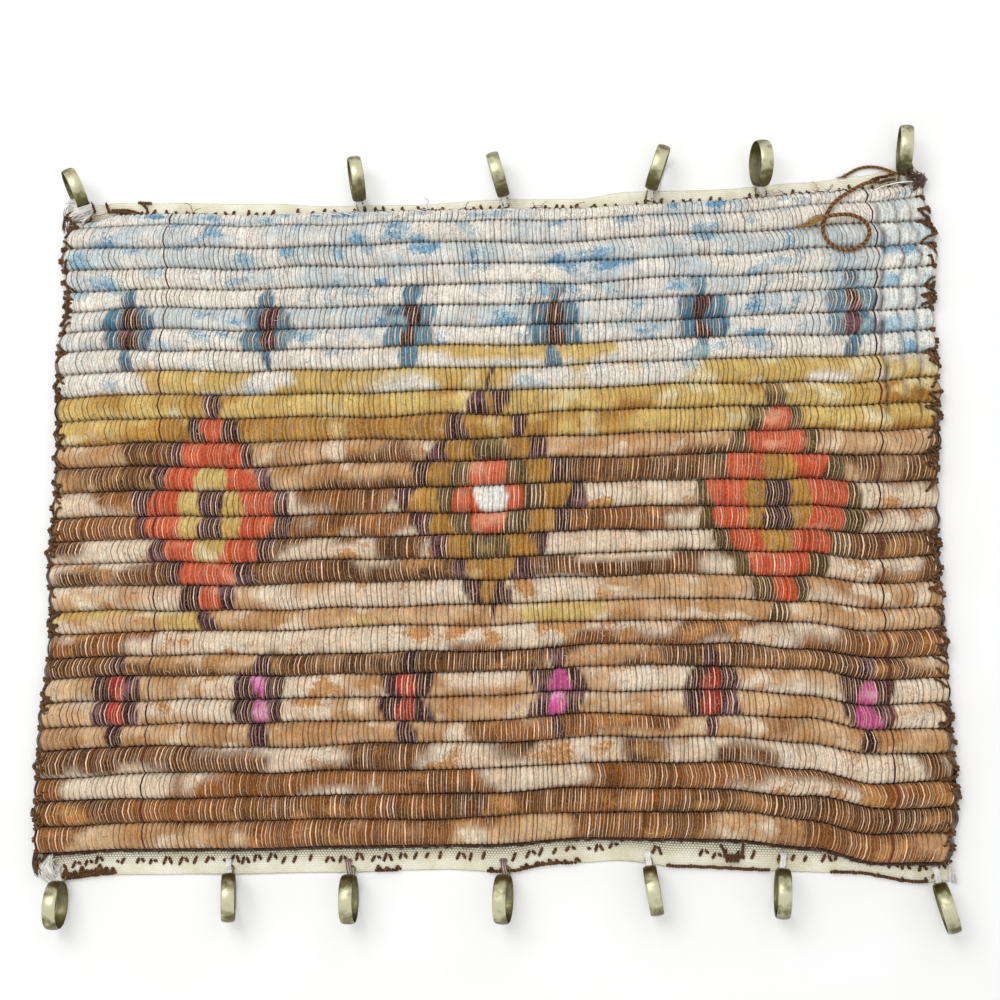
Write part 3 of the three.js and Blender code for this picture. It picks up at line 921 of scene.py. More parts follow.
pickSetup = {"radius": 0.7, "height": 1.1, "shake": 0.5}      # over one warp and under the next
strands, tints = [], []
draw = random.Random(29)
for groove in range(1, ribCount):
    strand, tint = [], []
    for half in range(3, 2 * warpCount - 2):
        warp = half / 2
        over = math.cos(math.pi * (warp + groove))
        lift = 0.1 + pickSetup["height"] * over + draw.uniform(-pickSetup["shake"], pickSetup["shake"])
        spot = woolTop(warp, float(groove), lift, 1.0)
        sideways = 0.6 * wave(warp * 0.8, groove * 2.0, 3.0) + draw.uniform(-0.45, 0.45)
        strand.append(spot + Vector((0, mm * sideways, 0)))
        tint.append(clamp((0.5 if groove > 9 else 0.3) + 0.9 * wave(warp * 0.03, groove * 0.9, 12.0)
                          + draw.uniform(-0.45, 0.45)))
    strands.append(strand)
    tints.append(tint)
pickThread = strandFinish("pickThread", "24100f", "8c4c3a", turns=300.0)
strandPiece("groovePicks", strands, pickSetup["radius"], 4, tints, pickThread, "wool",
            swell=lambda number, i, count: 0.75 + 0.9 * wave(i * 0.9, number * 1.7, 2.0) + 0.35 * (i % 2))
print("warps and picks made")


# ---- stray fibres over the whole face
strays = {"count": 1500, "radius": 0.15, "length": (0.5, 1.2), "stride": (0.32, 0.1)}      # warps and rows
draw = random.Random(83)
hairRoutes, hairTints = [], []
for i in range(strays["count"]):
    warp, row = draw.uniform(3, warpCount - 3), draw.uniform(0.3, ribCount - 0.2)
    heading, bend = draw.uniform(0, 6.28), draw.uniform(-0.5, 0.5)
    length = draw.uniform(*strays["length"])
    x = flatPlace(warp, row)[0]
    pale = paleness(x, row)
    route = []
    for k in range(5):
        lift = 0.35 + 0.5 * math.sin(math.pi * k / 4)
        route.append(woolTop(warp, clamp(row, 0.1, ribCount - 0.1), lift, 0.5))
        warp += strays["stride"][0] * length * math.cos(heading)
        row += strays["stride"][1] * length * math.sin(heading)
        heading += bend
    hairRoutes.append(route)
    hairTints.append(clamp(draw.gauss(0.55 - 0.35 * pale, 0.25)))
strayFibre = strandFinish("strayFibre", "5c4638", "fdf1e4", turns=0.0)
strandPiece("strayFibres", hairRoutes, strays["radius"], 4, hairTints, strayFibre, "wool",
            swell=lambda number, i, count: 1.0 - 0.3 * abs(i - 2) / 2)
print("stray fibres made")


# ---- heading tapes
tapes = {
    "thickness": 1.2,
    "width": 32.0,
    "top": ((-373, 293), (-330, 295), (-290, 293), (-200, 289), (-130, 284), (-55, 282.5),
            (5, 284.5), (85, 282.5), (128, 287), (205, 286), (284, 289.5), (332, 293.5),
            (366, 300.5), (382, 294)),
    "bottom": ((-371, -308), (-319, -303), (-222, -302), (-132, -300), (-29, -297), (15, -299),
               (61, -292), (113, -289), (161, -294), (238, -296.5), (299, -298), (352, -305),
               (376, -303.5)),
}


def tapeFinish():
    material, bench, sockets = openMaterial("headingTape", 0.9, sheen=0.1, specular=0.15)
    along, across, unused = bench.split(bench.uv("weave"))
    # a coarse plain weave, each row half a thread on from the last one
    line = bench.maths("DIVIDE", across, 1.9)
    thread = bench.timesPlus(bench.maths("FLOOR", line), 0.5, bench.maths("DIVIDE", along, 2.5))
    height = bench.times(*(bench.unsigned(bench.maths("SINE", bench.times(part, math.pi)))
                           for part in (thread, line)))
    spot = bench.objectPlace()
    slub = bench.noise(bench.stretch(spot, (260.0, 900.0, 900.0)), 1.0, 3.0, 0.6)
    stain = bench.noise(spot, 38.0, 3.0, 0.55)
    colour = bench.blend(bench.span(stain, 0.4, 0.66), shade("fffbe6"), shade("f0e9cc"))
    tone = bench.plus(bench.span(slub, 0.3, 0.7, -0.08, 0.08, False), 1.0)
    # the gaps between the threads are painted shade, open beside the wool and closing towards the tape's own
    # edge
    gap = bench.times(bench.span(height, 0.46, 0.14), bench.span(across, 7.0, 20.0, 0.15, 1.0))
    colour = bench.blend(gap, toned(bench, colour, tone), shade("7c6c4e"))
    bench.feed(sockets["Base Color"], colour)
    bench.feed(sockets["Normal"], bench.bump(height, 0.7, 0.0006))
    return material


def makeTape(name, table, inward):
    columns, rows = 300, 12
    first, last = table[0][0], table[-1][0]
    bm = bmesh.new()
    weave = bm.loops.layers.uv.new("weave")
    bmesh.ops.create_grid(bm, x_segments=columns, y_segments=rows, size=1.0)
    uvs = {}
    for vert in bm.verts:
        along = (vert.co.x + 1) / 2
        across = (vert.co.y + 1) / 2 if inward > 0 else (1 - vert.co.y) / 2
        x = mix(first, last, along)
        y = edgeAt(table, x) + inward * across * tapes["width"]
        uvs[vert] = (x, across * tapes["width"])
        edge = 1 - easeStep(0.0, 0.12, across)
        y += edge * 0.5 * wave(x * 0.35, inward * 3.0, 1.0)
        z = tapes["thickness"] + edge * (0.35 * wave(x * 0.05, inward * 5.0, 2.0) + 0.1)
        vert.co = place(x, y, max(1.0, z))
    setMap(bm, weave, uvs)
    tape = meshPiece(name, bm)
    wall = tape.modifiers.new("thickness", "SOLIDIFY")
    wall.thickness = tapes["thickness"] * 0.95 * mm
    wall.offset = -1.0
    return tape


canvasTape = tapeFinish()
for side, inward in (("top", -1), ("bottom", 1)):
    tape = makeTape("headingTape" + side.capitalize(), tapes[side], inward)
    finishPiece(tape, canvasTape, "heading_tape", "tape_" + side)
print("tapes made")


# ---- curtain rings
rings = {
    "outerRadius": 20.0,
    "band": 11.0,
    "crown": 0.75,
    "wall": 0.75,
    "segments": 96,
    "top": ((-369, 301.5, -27, 18), (-111, 301.5, -10, 12), (15, 300.5, -15, 0),
            (155, 301, 19, 4), (244, 301, -3, 11), (366, 309, 5, -4)),       # x, y, turn and lean
    "bottom": ((-360, -326, -1, 6), (-211.5, -318.5, 1, 14), (-110.5, -319, 1, 2),
               (17, -318, -1, -5), (139, -310.5, 9, 0), (242, -312, -3, 0), (369.5, -322, 15, -6)),
}
eyelets = {
    "wire": 1.6,
    "length": 11.0,
    "width": 7.0,
    "rootAngle": math.radians(40),
    "gap": 0.3,
    "threads": 7,
    "threadRadius": 0.52,
    "threadGap": 0.62,
    # each thread's way out of the ring and down into the tape: share of the wire loop's length, and height
    "threadPath": ((0.02, -0.8), (-0.06, 0.9), (0.12, 1.6), (0.45, 1.5), (0.85, 1.4), (1.2, 1.1),
                   (1.42, 0.7), (1.5, -0.6)),
    "brown": ("eyelet_bottom_3", "eyelet_bottom_4"),        # the two that are sewn on with brown thread
}


def ringFinish():
    # "limb" runs from 0 on top of the ring to 1 at its two ends, and "inside" is 1 in the bore; they paint
    # the band pale on top and darker towards its ends and in the bore, as painted reflection and shade
    material, bench, sockets = openMaterial("ringMetal", 0.34, metallic=1.0, specular=0.5)
    spot = bench.objectPlace()
    tarnish = bench.noise(spot, 120.0, 4.0, 0.55, 0.3)
    brushed = bench.noise(bench.stretch(spot, (1800.0, 200.0, 200.0)), 1.0, 3.0, 0.6)
    # painted reflection, pale on top, and painted shade towards the ends, shifted by tarnish patches
    limb = bench.plus(bench.attribute("limb", "Fac"), bench.span(tarnish, 0.3, 0.7, -0.3, 0.3, False))
    colour = bench.blend(bench.span(limb, 0.2, 0.9), shade("c8c6a4"), shade("68633f"))
    # painted shade in the bore
    colour = bench.blend(bench.times(bench.attribute("inside", "Fac"), 0.8), colour, shade("59522f"))
    colour = bench.blend(bench.span(brushed, 0.6, 0.75, 0.0, 0.25), colour, shade("6a6440"))
    bench.feed(sockets["Base Color"], colour)
    bench.feed(sockets["Roughness"], bench.plus(bench.span(tarnish, 0.3, 0.7, 0.26, 0.46),
                                                bench.span(brushed, 0.3, 0.7, -0.04, 0.06)))
    bench.feed(sockets["Normal"], bench.bump(brushed, 0.12, 0.0002))
    return material


def ringSetting(spot, away):
    # where one ring's group stands and how it is turned, as the part has them, then the same for the
    # leaning ring in it, its lean, and the height of its middle
    x, y, turn, lean = spot
    group = -math.radians(turn) if away > 0 else math.pi + math.radians(turn)
    lean = math.radians(lean) * away
    height = rings["outerRadius"] * math.cos(lean) + rings["band"] / 2 * abs(math.sin(lean))
    setting = Matrix.Translation(place(x, y, 0)) @ Matrix.Rotation(group, 4, "Z")
    stand = setting @ Matrix.Translation((0, 0, height * mm)) @ Matrix.Rotation(lean, 4, "Y")
    return setting, stand, lean, height


def makeRing(name, spot, away):
    stand = ringSetting(spot, away)[1]
    half, outer, crown, wall = rings["band"] / 2, rings["outerRadius"], rings["crown"], rings["wall"]
    outline = []
    for i in range(9):                    # the crowned face, then the hollow inside it
        t = -1 + i / 4
        outline.append((t * (half - 0.25), outer - crown * t * t - (0.3 if abs(t) == 1 else 0.0)))
    for i in range(9):
        t = 1 - i / 4
        outline.append((t * (half - (0.0 if abs(t) == 1 else 0.25)), outer - wall - crown * t * t
                        + (0.12 if abs(t) == 1 else 0.0)))
    bm = bmesh.new()
    corners = [bm.verts.new((along * mm, 0, radius * mm)) for along, radius in outline]
    edges = [bm.edges.new((a, b)) for a, b in zip(corners, corners[1:] + corners[:1])]
    bmesh.ops.spin(bm, geom=corners + edges, cent=(0, 0, 0), axis=(1, 0, 0), angle=2 * math.pi,
                   steps=rings["segments"], use_merge=True)
    bmesh.ops.remove_doubles(bm, verts=bm.verts, dist=1e-6)
    bmesh.ops.recalc_face_normals(bm, faces=bm.faces)
    # marks that steer the painted reflection and shade of the ring's finish
    limb = bm.verts.layers.float.new("limb")
    inside = bm.verts.layers.float.new("inside")
    for vert in bm.verts:
        fromAxis = math.hypot(vert.co.y, vert.co.z) / mm
        vert[limb] = abs(vert.co.y) / mm / outer
        vert[inside] = 1.0 if fromAxis < outer - crown * (vert.co.x / mm / half) ** 2 - wall / 2 else 0.0
    bmesh.ops.transform(bm, matrix=stand, verts=bm.verts)
    return meshPiece(name, bm)


ringMetal = ringFinish()
wireLoops, sewing, sewingTints = [], [], []
eyeletNodes = []
for side, away in (("top", 1), ("bottom", -1)):
    for number, spot in enumerate(rings[side], 1):
        ring = makeRing(f"curtainRing_{side}_{number}", spot, away)
        finishPiece(ring, ringMetal, "ring_metal", f"ring_{side}_{number}")
        eyeletNodes.append(f"eyelet_{side}_{number}")
        setting, stand, lean, height = ringSetting(spot, away)
        wire = eyelets["wire"] / 2
        bend = eyelets["width"] / 2 - wire
        run = eyelets["length"] - eyelets["wire"]
        reach = rings["outerRadius"] + eyelets["gap"] + wire
        angle = eyelets["rootAngle"]
        root = Vector((-reach * math.sin(angle) * math.sin(lean), -reach * math.cos(angle),
                       height - reach * math.sin(angle) * math.cos(lean)))
        drop = root.z - (tapes["thickness"] + eyelets["gap"] + wire)
        slope = math.asin(drop / run)
        centre = Vector((root.x, root.y - run * math.cos(slope) / 2, root.z - drop / 2))
        loop = []
        for i in range(33):
            turn = 2 * math.pi * i / 32
            flat = Vector((bend * math.cos(turn), bend * math.sin(turn), 0))
            flat.y += math.copysign(run / 2 - bend, flat.y)
            flat.rotate(Matrix.Rotation(slope, 3, "X"))
            loop.append(setting @ ((centre + flat) * mm))
        wireLoops.append(loop)
        brown = eyeletNodes[-1] in eyelets["brown"]
        threads = eyelets["threads"]
        sway = away * (spot[0] - 128) * 0.015        # sideways, so that the tab lies in line with the ring
        stretch = 1.15 if away < 0 else 0.64         # the upper tabs end at the wool
        for j in range(threads):
            # threads side by side, from inside the ring over the wire and down into the tape
            off = (j - (threads - 1) / 2) * eyelets["threadGap"]
            path = []
            for near, dz in eyelets["threadPath"]:
                y = root.y - near * stretch * run * math.cos(slope)
                z = 2.0 + dz * 0.5
                if near < 1.3:
                    z = max(2.0, root.z - near * drop) + dz * (1 + 0.06 * (j % 3))
                across = mix(root.x, sway, clamp(near))
                path.append(setting @ (Vector((across + off, y + 0.25 * (j % 2), z)) * mm))
            sewing.append(path)
            sewingTints.append((0.1 + 0.5 * (j % 3 == 1)) if brown else 0.92 + 0.08 * (j % 2))
        for j in range(2):
            # and two across its lower end
            reachBack = (1.3 + 0.12 * j) * stretch * run * math.cos(slope)
            bar = [setting @ (Vector((sway + 3.1 * t, root.y - reachBack, 2.3 + 1.2 * (1 - t * t))) * mm)
                   for t in (-1, -0.6, 0, 0.6, 1)]
            sewing.append(bar)
            sewingTints.append(0.2 if brown else 1.0)
wireMaterial, bench, sockets = openMaterial("eyeletWire", 0.4, metallic=1.0, specular=0.5)
dull = bench.noise(bench.objectPlace(), 420.0, 4.0, 0.6)
bench.feed(sockets["Base Color"],
           bench.blend(bench.span(dull, 0.35, 0.65), shade("9c9465"), shade("5a5230")))
bench.feed(sockets["Roughness"], bench.span(dull, 0.3, 0.7, 0.35, 0.6))
bench.feed(sockets["Normal"], bench.bump(dull, 0.2, 0.0003))
strandPiece("wireEyelets", wireLoops, eyelets["wire"] / 2, 8, None, wireMaterial, "eyelet_wire",
            *eyeletNodes)
sewingThread = strandFinish("sewingThread", "6a3a1c", "fffdf6", turns=20.0)
strandPiece("eyeletSewing", sewing, eyelets["threadRadius"], 6, sewingTints, sewingThread, "yarn")
print("rings and eyelets made")


# ---- the bound selvedges: pale edge warps, with brown yarn round them and slanting over the ribs
def warpNear(side, row, inset):
    # the warp at a distance in from a selvedge
    x, y, down, left, right = flatPlace(0, row)
    share = inset / (right - left)
    share = share if side < 0 else 1 - share
    k = min(warpCount - 1, max(0, bisect.bisect_right(warpPlaces, share) - 1))
    return k + (share - warpPlaces[k]) / (warpPlaces[k + 1] - warpPlaces[k])


def onWool(side, row, inset, lift):
    return woolTop(warpNear(side, row, inset), row, lift, 0.5)


def onEdge(side, row, inset, z):
    row = clamp(row, 0.03, ribCount - 0.03)
    x, y, down, left, right = flatPlace(0 if side < 0 else warpCount, row)
    return place(left + inset if side < 0 else right - inset, y, z)


def pliedRoutes(routes, diameter, pitch, step, seed):
    # the two plies of each yarn, one of them darker
    draw = random.Random(seed)
    strands, tints = [], []
    for route in routes:
        even = roundRoute(route, step * mm)
        for ply in plied(even, diameter * mm, pitch * mm, 2, draw.uniform(0, 6.28)):
            strands.append(ply)
            tints.append(draw.uniform(0.05, 0.3) if len(strands) % 2 else draw.uniform(0.3, 0.62))
    return strands, tints


def taperEnds(number, i, count):
    # a stitch is thinner where it goes into the tape
    return 0.55 if i in (0, count - 1) else 0.85 if i in (1, count - 2) else 1.0


binding = {
    "edgeRadius": 0.62,
    "edgeWarps": ((-0.2, 5.2), (1.1, 6.3), (2.5, 6.9), (3.8, 6.6)),      # inset and height
    "lightRows": {-1: 6.5, 1: 9.0},      # where the pale wool of both edges ends
    "diameter": 2.6,
    "pitch": 5.0,
    # one turn round the edge: share of its slant, inset and height
    "turn": ((-1, 6.4, 4.6), (-1, 5.2, 7.2), (-0.5, 3.2, 8.4), (0, 1.0, 8.3), (0.5, -0.9, 6.7),
             (1, -1.3, 4.3), (1, -0.2, 2.3), (1, 2.0, 1.5)),
    "zigzag": 3.1,
    "zigzagStart": {-1: 4.2, 1: 1.4},
}
strands, tints = [], []
for side in (-1, 1):
    lightRow = binding["lightRows"][side]
    for number, (inset, z) in enumerate(binding["edgeWarps"]):
        points = []
        for k in range(2 * ribCount + 1):
            shift = 0.8 * wave(k * 0.45, number * 3.1, side * 5.0)
            lift = 0.7 * wave(k * 0.8, number * 2.3, side * 7.0)
            points.append(onEdge(side, k / 2, inset + shift, z + lift))
        strands.append(roundRoute(points, 2.2 * mm))
        count = len(strands[-1])
        tints.append([])
        for i in range(count):
            dark = easeStep(lightRow - 0.7, lightRow + 0.7, ribCount * i / count)
            tints[-1].append(clamp(mix(0.72, 0.14, dark) + wave(i * 0.09, number * 4.0, side)))
edgeThread = strandFinish("edgeThread", "38221a", "f3e9e0", turns=60.0)
strandPiece("selvedgeWarps", strands, binding["edgeRadius"], 6, tints, edgeThread, "wool")

yarnRoutes = []
draw = random.Random(23)
for side in (-1, 1):
    for half in range(2 * ribCount + 1):
        # two turns of yarn round the edge warps, beside most grooves and in the middle of some ribs
        if draw.random() < (0.12 if half % 2 == 0 else 0.6):
            continue
        slant = draw.uniform(-0.08, 0.08)
        for turn in (-0.055, 0.055):
            row = half / 2 + turn + draw.uniform(-0.015, 0.015)
            yarnRoutes.append([onEdge(side, row + lean * slant, inset, z)
                               for lean, inset, z in binding["turn"]])
    for rib in range(ribCount):
        # and yarn that slants from the edge into the wool
        for fromEdge, toRib in ((0.04, 0.42), (0.96, 0.58)):
            if draw.random() < 0.5:
                continue
            inset = draw.uniform(7.5, 12.0)
            if draw.random() < 0.5:
                fromEdge, toRib = toRib, fromEdge
            points = [onEdge(side, rib + fromEdge, 1.4, 7.9)]
            for t in (0.3, 0.55, 0.8):
                row = rib + mix(fromEdge, toRib, t) + draw.uniform(-0.03, 0.03)
                row = clamp(row, 0.04, ribCount - 0.04)
                points.append(onWool(side, row, mix(2.0, inset, t), 1.2))
            row = clamp(rib + toRib, 0.04, ribCount - 0.04)
            points.append(onWool(side, row, inset, 0.2))
            points.append(onWool(side, row, inset + 1.4, -1.8))
            yarnRoutes.append(points)
strands, tints = pliedRoutes(yarnRoutes, binding["diameter"], binding["pitch"], 1.0, 5)
strandPiece("selvedgeYarn", strands, binding["diameter"] * 0.285, 6, tints, brownYarn, "yarn")

yarnRoutes = []
for side in (-1, 1):
    # here and there a thick yarn goes to and fro between the edge and the wool
    row = binding["zigzagStart"][side]
    while row < ribCount - 1.2:
        last = min(ribCount - 0.6, row + draw.uniform(0.6, 1.5))
        points, number = [], 0
        while row < last:
            inset = (0.6, draw.uniform(8.0, 12.5))[number % 2]
            if number % 2:
                points.append(onWool(side, row, inset, 0.7))
                points.append(onWool(side, row + 0.05, inset - 1.5, 1.2))
            else:
                points.append(onEdge(side, row, inset, 7.9))
                points.append(onEdge(side, row + 0.06, inset - 1.2, 6.6))
            row += draw.uniform(0.14, 0.24)
            points.append(onWool(side, min(row, ribCount - 0.3), 5.0, 1.5))
            row += 0.04
            number += 1
        if len(points) > 4:
            yarnRoutes.append(points[:-1])
        row += draw.uniform(0.7, 2.3)
strands, tints = pliedRoutes(yarnRoutes, binding["zigzag"], binding["pitch"], 1.0, 9)
strandPiece("selvedgeZigzags", strands, binding["zigzag"] * 0.285, 6, [t * 0.8 for t in tints],
            brownYarn, "yarn")
print("selvedges bound")


# ---- hand stitches on the tapes
stitching = {
    "diameter": 2.8,
    "pitch": 5.0,
    "tint": 0.75,
    # runs along the lower tape's own edge: from x, to x, and how far their legs go up
    "edgeRuns": ((-364, -316, 8.5), (-92, -70, 4.0), (2, 78, 4.5), (150, 236, 1.8), (282, 362, 2.6)),
    # a thick run of yarn and two long legs at the left end of the upper tape
    "upperLeft": (
        ((-361, 296, 3), (-358.5, 291, 3.8), (-357, 285.5, 3)),
        ((-347, 295, 3), (-345, 290, 3.8), (-343, 285, 4)),
        ((-345, 286, 4), (-338, 285.6, 5), (-331, 284.8, 5), (-325, 284.5, 4)),
        ((-337, 284.6, 4.5), (-330, 285.8, 5.2), (-322, 284, 5), (-316, 281.5, 5)),
        ((-333, 283.4, 5), (-326, 283.2, 5.6), (-319, 282.6, 4.6)),
        ((-341, 287.4, 4.4), (-334, 286.6, 5.4), (-327, 286.4, 5.6), (-320, 285, 5), (-312, 282, 4.6)),
        ((-338, 285.6, 6), (-330, 284.6, 6.8), (-322, 282.8, 6.6)),
        ((-317, 294.5, 2.4), (-311, 293.4, 3.4), (-304, 293.2, 2.4)),
        ((-313, 293, 2.6), (-310, 290, 3.2), (-308, 287.4, 2.4))),
    # wraps round three of the corners
    "corners": (
        ((363.1, 300.9, 5), (367.9, 301.2, 7.5), (371.9, 299.8, 8), (373.7, 296.6, 8), (372.5, 292.7, 7),
         (369.7, 289.8, 5)),
        ((364, 299.4, 4), (369, 299.4, 6.5), (371.6, 296, 7), (370, 292, 6)),
        ((338, 287.4, 4.5), (343, 288.8, 6.5), (349, 290, 6), (353, 291, 4)),
        ((346, 285, 4.5), (350, 286.2, 6), (356, 287, 6), (360, 288, 4)),
        ((351, 290.8, 4), (355, 291.8, 5.6), (359, 291.8, 4)),
        ((-384, -284, 4), (-386, -290, 6.5), (-384.4, -297, 6.5), (-379, -303, 4)),
        ((-383, -282, 8), (-384, -288, 8.5), (-382, -295, 7.5), (-377, -301, 5)),
        ((-380, -300, 3), (-383, -296, 6), (-386, -290, 5)),
        ((-380, -288, 8), (-383.4, -294, 7.4), (-381.4, -300, 5.6), (-377, -304, 4)),
        ((-374, -286, 9.5), (-378, -291, 9), (-383, -299, 5.5)),
        ((-382, 283, 5), (-377, 286.5, 9), (-371, 287.5, 8), (-365, 286.5, 5.5)),
        ((-383, 280, 6), (-378, 283.5, 10), (-370, 284.5, 9), (-362, 283, 7)),
        ((-382, 277, 7), (-377, 280, 10.5), (-369, 281, 10)),
        ((-382, 285, 5), (-379, 279, 10), (-373, 273, 11), (-368, 268.5, 12.5))),
    # a loose loop on the lower tape, before and after its coiled knot
    "loop": ((211.5, -262, 11), (211.8, -268, 10.5), (212.6, -274, 6), (212.2, -280, 3.6),
             (211, -286.5, 3.0)),
    "loopEnd": ((198.5, -284.5, 4.2), (197, -280, 3.6), (194.4, -275, 3.2)),
}


def arc(start, end, rise):
    # one stitch, bowed up from the tape
    points = [start.copy()]
    for i in range(5):
        t = i / 4
        p = start.lerp(end, t)
        p.z += rise * mm * math.sin(math.pi * mix(0.12, 0.88, t))
        points.append(p)
    points.append(end.copy())
    return points


def onTape(side, x, inset, lift=0.0):
    table = tapes[side]
    inward = -1 if side == "top" else 1
    return place(x, edgeAt(table, x) + inward * inset, tapes["thickness"] + lift)


draw = random.Random(41)
stitchRoutes = []
x = -366.0
while x < 372:
    # the lower tape: leaning pairs of stitches halfway between the wool and the edge
    size, lean = draw.uniform(3.5, 6.5), draw.uniform(1.4, 3.4)
    inset = draw.uniform(8.0, 10.5)
    if draw.random() < 0.86:
        stitchRoutes.append(arc(onTape("bottom", x, inset), onTape("bottom", x + lean, inset + size), 0.9))
    if draw.random() < 0.72:
        stitchRoutes.append(arc(onTape("bottom", x + lean + 2.4, inset + size * 0.9),
                                onTape("bottom", x + lean + 4.6, inset + draw.uniform(0, 2.5)), 0.9))
    x += draw.uniform(9.0, 14.5)
x = -330.0
while x < 372:
    # the upper tape: short stitches just above the wool
    inset = edgeAt(tapes["top"], x) - edgeAt(cloth["top"], x)
    lean = draw.uniform(-3.0, 3.0)
    if draw.random() < 0.8:
        stitchRoutes.append(arc(onTape("top", x, inset - draw.uniform(3.0, 6.5)),
                                onTape("top", x + lean, inset + 1.0, 1.2), 1.0))
    if draw.random() < 0.3:
        end = onTape("top", x + draw.uniform(4, 8), inset - draw.uniform(0, 1.5), 0.8)
        stitchRoutes.append(arc(onTape("top", x + 1, inset - 0.8, 0.8), end, 1.1))
    x += draw.uniform(5.0, 10.5)
for first, last, peak in stitching["edgeRuns"]:
    # a run of yarn with short legs up over the tape, which are close together where they are long
    points, x = [], first
    while x < last:
        points.append(onTape("bottom", x, 1.0 + 0.8 * wave(x * 0.2, 3.0), 1.3))
        x += 4.0
    stitchRoutes.append(points)
    gaps = (2.0, 3.4) if peak > 6 else (4.5, 9.0) if peak > 3 else (11.0, 22.0)
    x = first + 3
    while x < last - 2:
        tall = peak > 6 and last - 14 < x < last - 5
        height = draw.uniform(0.3, 1.0) * peak * (1.5 if tall else 1.0)
        lean = draw.uniform(-2.0, 2.4)
        crest = onTape("bottom", x + lean, 1.4 + height, 0.9)
        stitchRoutes.append([onTape("bottom", x, 0.0, 1.6),
                             onTape("bottom", x + lean * 0.5, 1.0 + height * 0.5, 2.0), crest])
        if peak > 3:
            stitchRoutes.append([crest, onTape("bottom", x + lean + 1.8, 1.0 + height * 0.5, 1.8),
                                 onTape("bottom", x + lean + 3.4, 1.0, 1.6)])
        x += draw.uniform(*gaps)
for spots in (*stitching["upperLeft"], *stitching["corners"], stitching["loop"]):
    stitchRoutes.append([place(*spot) for spot in spots])
coil = []
for i in range(33):
    angle = i * 0.785                # eight points to a turn
    coil.append(place(198 + 0.36 * i, -286 + 2.5 * math.cos(angle), 4.4 + 2.0 * math.sin(angle)))
stitchRoutes.append(coil)
stitchRoutes.append([place(*spot) for spot in stitching["loopEnd"]])
strands, tints = pliedRoutes(stitchRoutes, stitching["diameter"], stitching["pitch"], 0.8, 8)
strandPiece("tapeStitches", strands, stitching["diameter"] * 0.3, 6,
            [t * stitching["tint"] for t in tints], brownYarn, "yarn", swell=taperEnds)

whiteSewing = {
    "radius": 0.5,
    "corner": ((341, 276.5, 11), (347, 278.9, 13), (353.4, 280.4, 13), (360, 281.6, 13),
               (366.3, 282.4, 12.6), (373, 283.4, 10)),
    # bundles where the end rings are sewn to the corners:
    # both ends, the bulge, the rise, the scatter, how many threads, and the seed
    "bundles": (
        ((-378, 294, 9), (-362, 287, 4), (-1, 3), 7, 2.0, 30, 61),
        ((-380, 287, 7), (-364, 285, 4), (0, -2), 5, 2.2, 26, 62),
        ((-377, 281, 8), (-376, 292, 5), (-5, 0), 3, 1.6, 16, 63),
        ((-361, 285, 16), (-375, 281, 8), (0, -3), 5, 2.2, 26, 68),
        ((-363, 286, 15), (-378, 292, 6), (-2, -2), 5, 2.0, 22, 69),
        ((-358, 282, 13), (-366, 276, 10), (2, -2), 3, 1.6, 14, 70),
        ((-372, -290, 7), (-365, -307, 3), (-12, 0), 4, 1.8, 30, 64),
        ((-373, -290, 7), (-363, -308, 3), (-3, 0), 4, 1.8, 16, 65),
        ((-379, -291, 6), (-370, -309, 3), (-7, -1), 3, 1.6, 20, 73),
        ((377, -286, 6), (379, -304, 2.5), (2, 0), 2.5, 1.1, 22, 66)),
}
whiteRoutes = []
x = -170.0
while x < 40:
    # leaning stitches from the upper tape into the first rib
    inset = edgeAt(tapes["top"], x) - edgeAt(cloth["top"], x)
    start = onTape("top", x, inset - draw.uniform(0.5, 3.0), 0.4)
    row = draw.uniform(0.2, 0.5)
    end = onWool(-1, row, x + draw.uniform(7, 12) + 384, 0.4)
    whiteRoutes.append(roundRoute([start - Vector((0, 0, 1.5 * mm)), start + Vector((0, 0, 0.5 * mm)),
                                   start.lerp(end, 0.5) + Vector((0, 0, 2.6 * mm)), end,
                                   end - Vector((0, 0, 1.5 * mm))], 1.2 * mm))
    x += draw.uniform(8.0, 13.0)
whiteRoutes.append(roundRoute([place(*spot) for spot in whiteSewing["corner"]], 1.2 * mm))


def bundle(start, end, bulge, rise, scatter, count, seed):
    # loose threads between two places, each bulging out to one side and up
    draw = random.Random(seed)
    routes = []
    for i in range(count):
        shake = [Vector([draw.gauss(0, scatter) * f for f in (1, 1, 0.3)]) for k in range(2)]
        first, last = Vector(start) + shake[0], Vector(end) + shake[1]
        reach, high = draw.uniform(0.1, 1.0), draw.uniform(0.3, 1.0)
        points = []
        for t in (0, 0.2, 0.4, 0.6, 0.8, 1.0):
            spot = first.lerp(last, t) + Vector((*bulge, 0)) * reach * math.sin(math.pi * t)
            spot.z = max(1.7, spot.z + rise * high * math.sin(math.pi * t))
            points.append(place(*spot))
        routes.append(roundRoute(points, 1.3 * mm))
    return routes


def ringWraps(spot, away, first, last, turns):
    # threads wound round a ring's band near its foot, from one angle below its middle height to another
    stand = ringSetting(spot, away)[1]
    half, outer, inner = rings["band"] / 2 + 0.7, rings["outerRadius"] + 0.6, rings["outerRadius"] - 2.3
    wrap = ((-half, inner), (-half, outer), (0, outer + 0.2), (half, outer), (half, inner), (0, inner - 0.2))
    route = []
    for turn in range(turns):
        for k, (along, radius) in enumerate(wrap):
            angle = math.radians(mix(first, last, (turn + k / 6) / turns) + 3 * wave(turn * 3.3, k, 1.0))
            knot = Vector((along, -radius * math.cos(angle), -radius * math.sin(angle)))
            route.append(stand @ (knot * mm))
    return [roundRoute(route, 1.2 * mm)]


whiteRoutes += ringWraps(rings["top"][0], 1, -14, 26, 15)
for ends in whiteSewing["bundles"]:
    whiteRoutes += bundle(*ends)
draw = random.Random(67)
whiteTints = [draw.uniform(0.72, 1.0) for route in whiteRoutes]
strandPiece("whiteThread", whiteRoutes, whiteSewing["radius"], 6, whiteTints, sewingThread, "yarn")

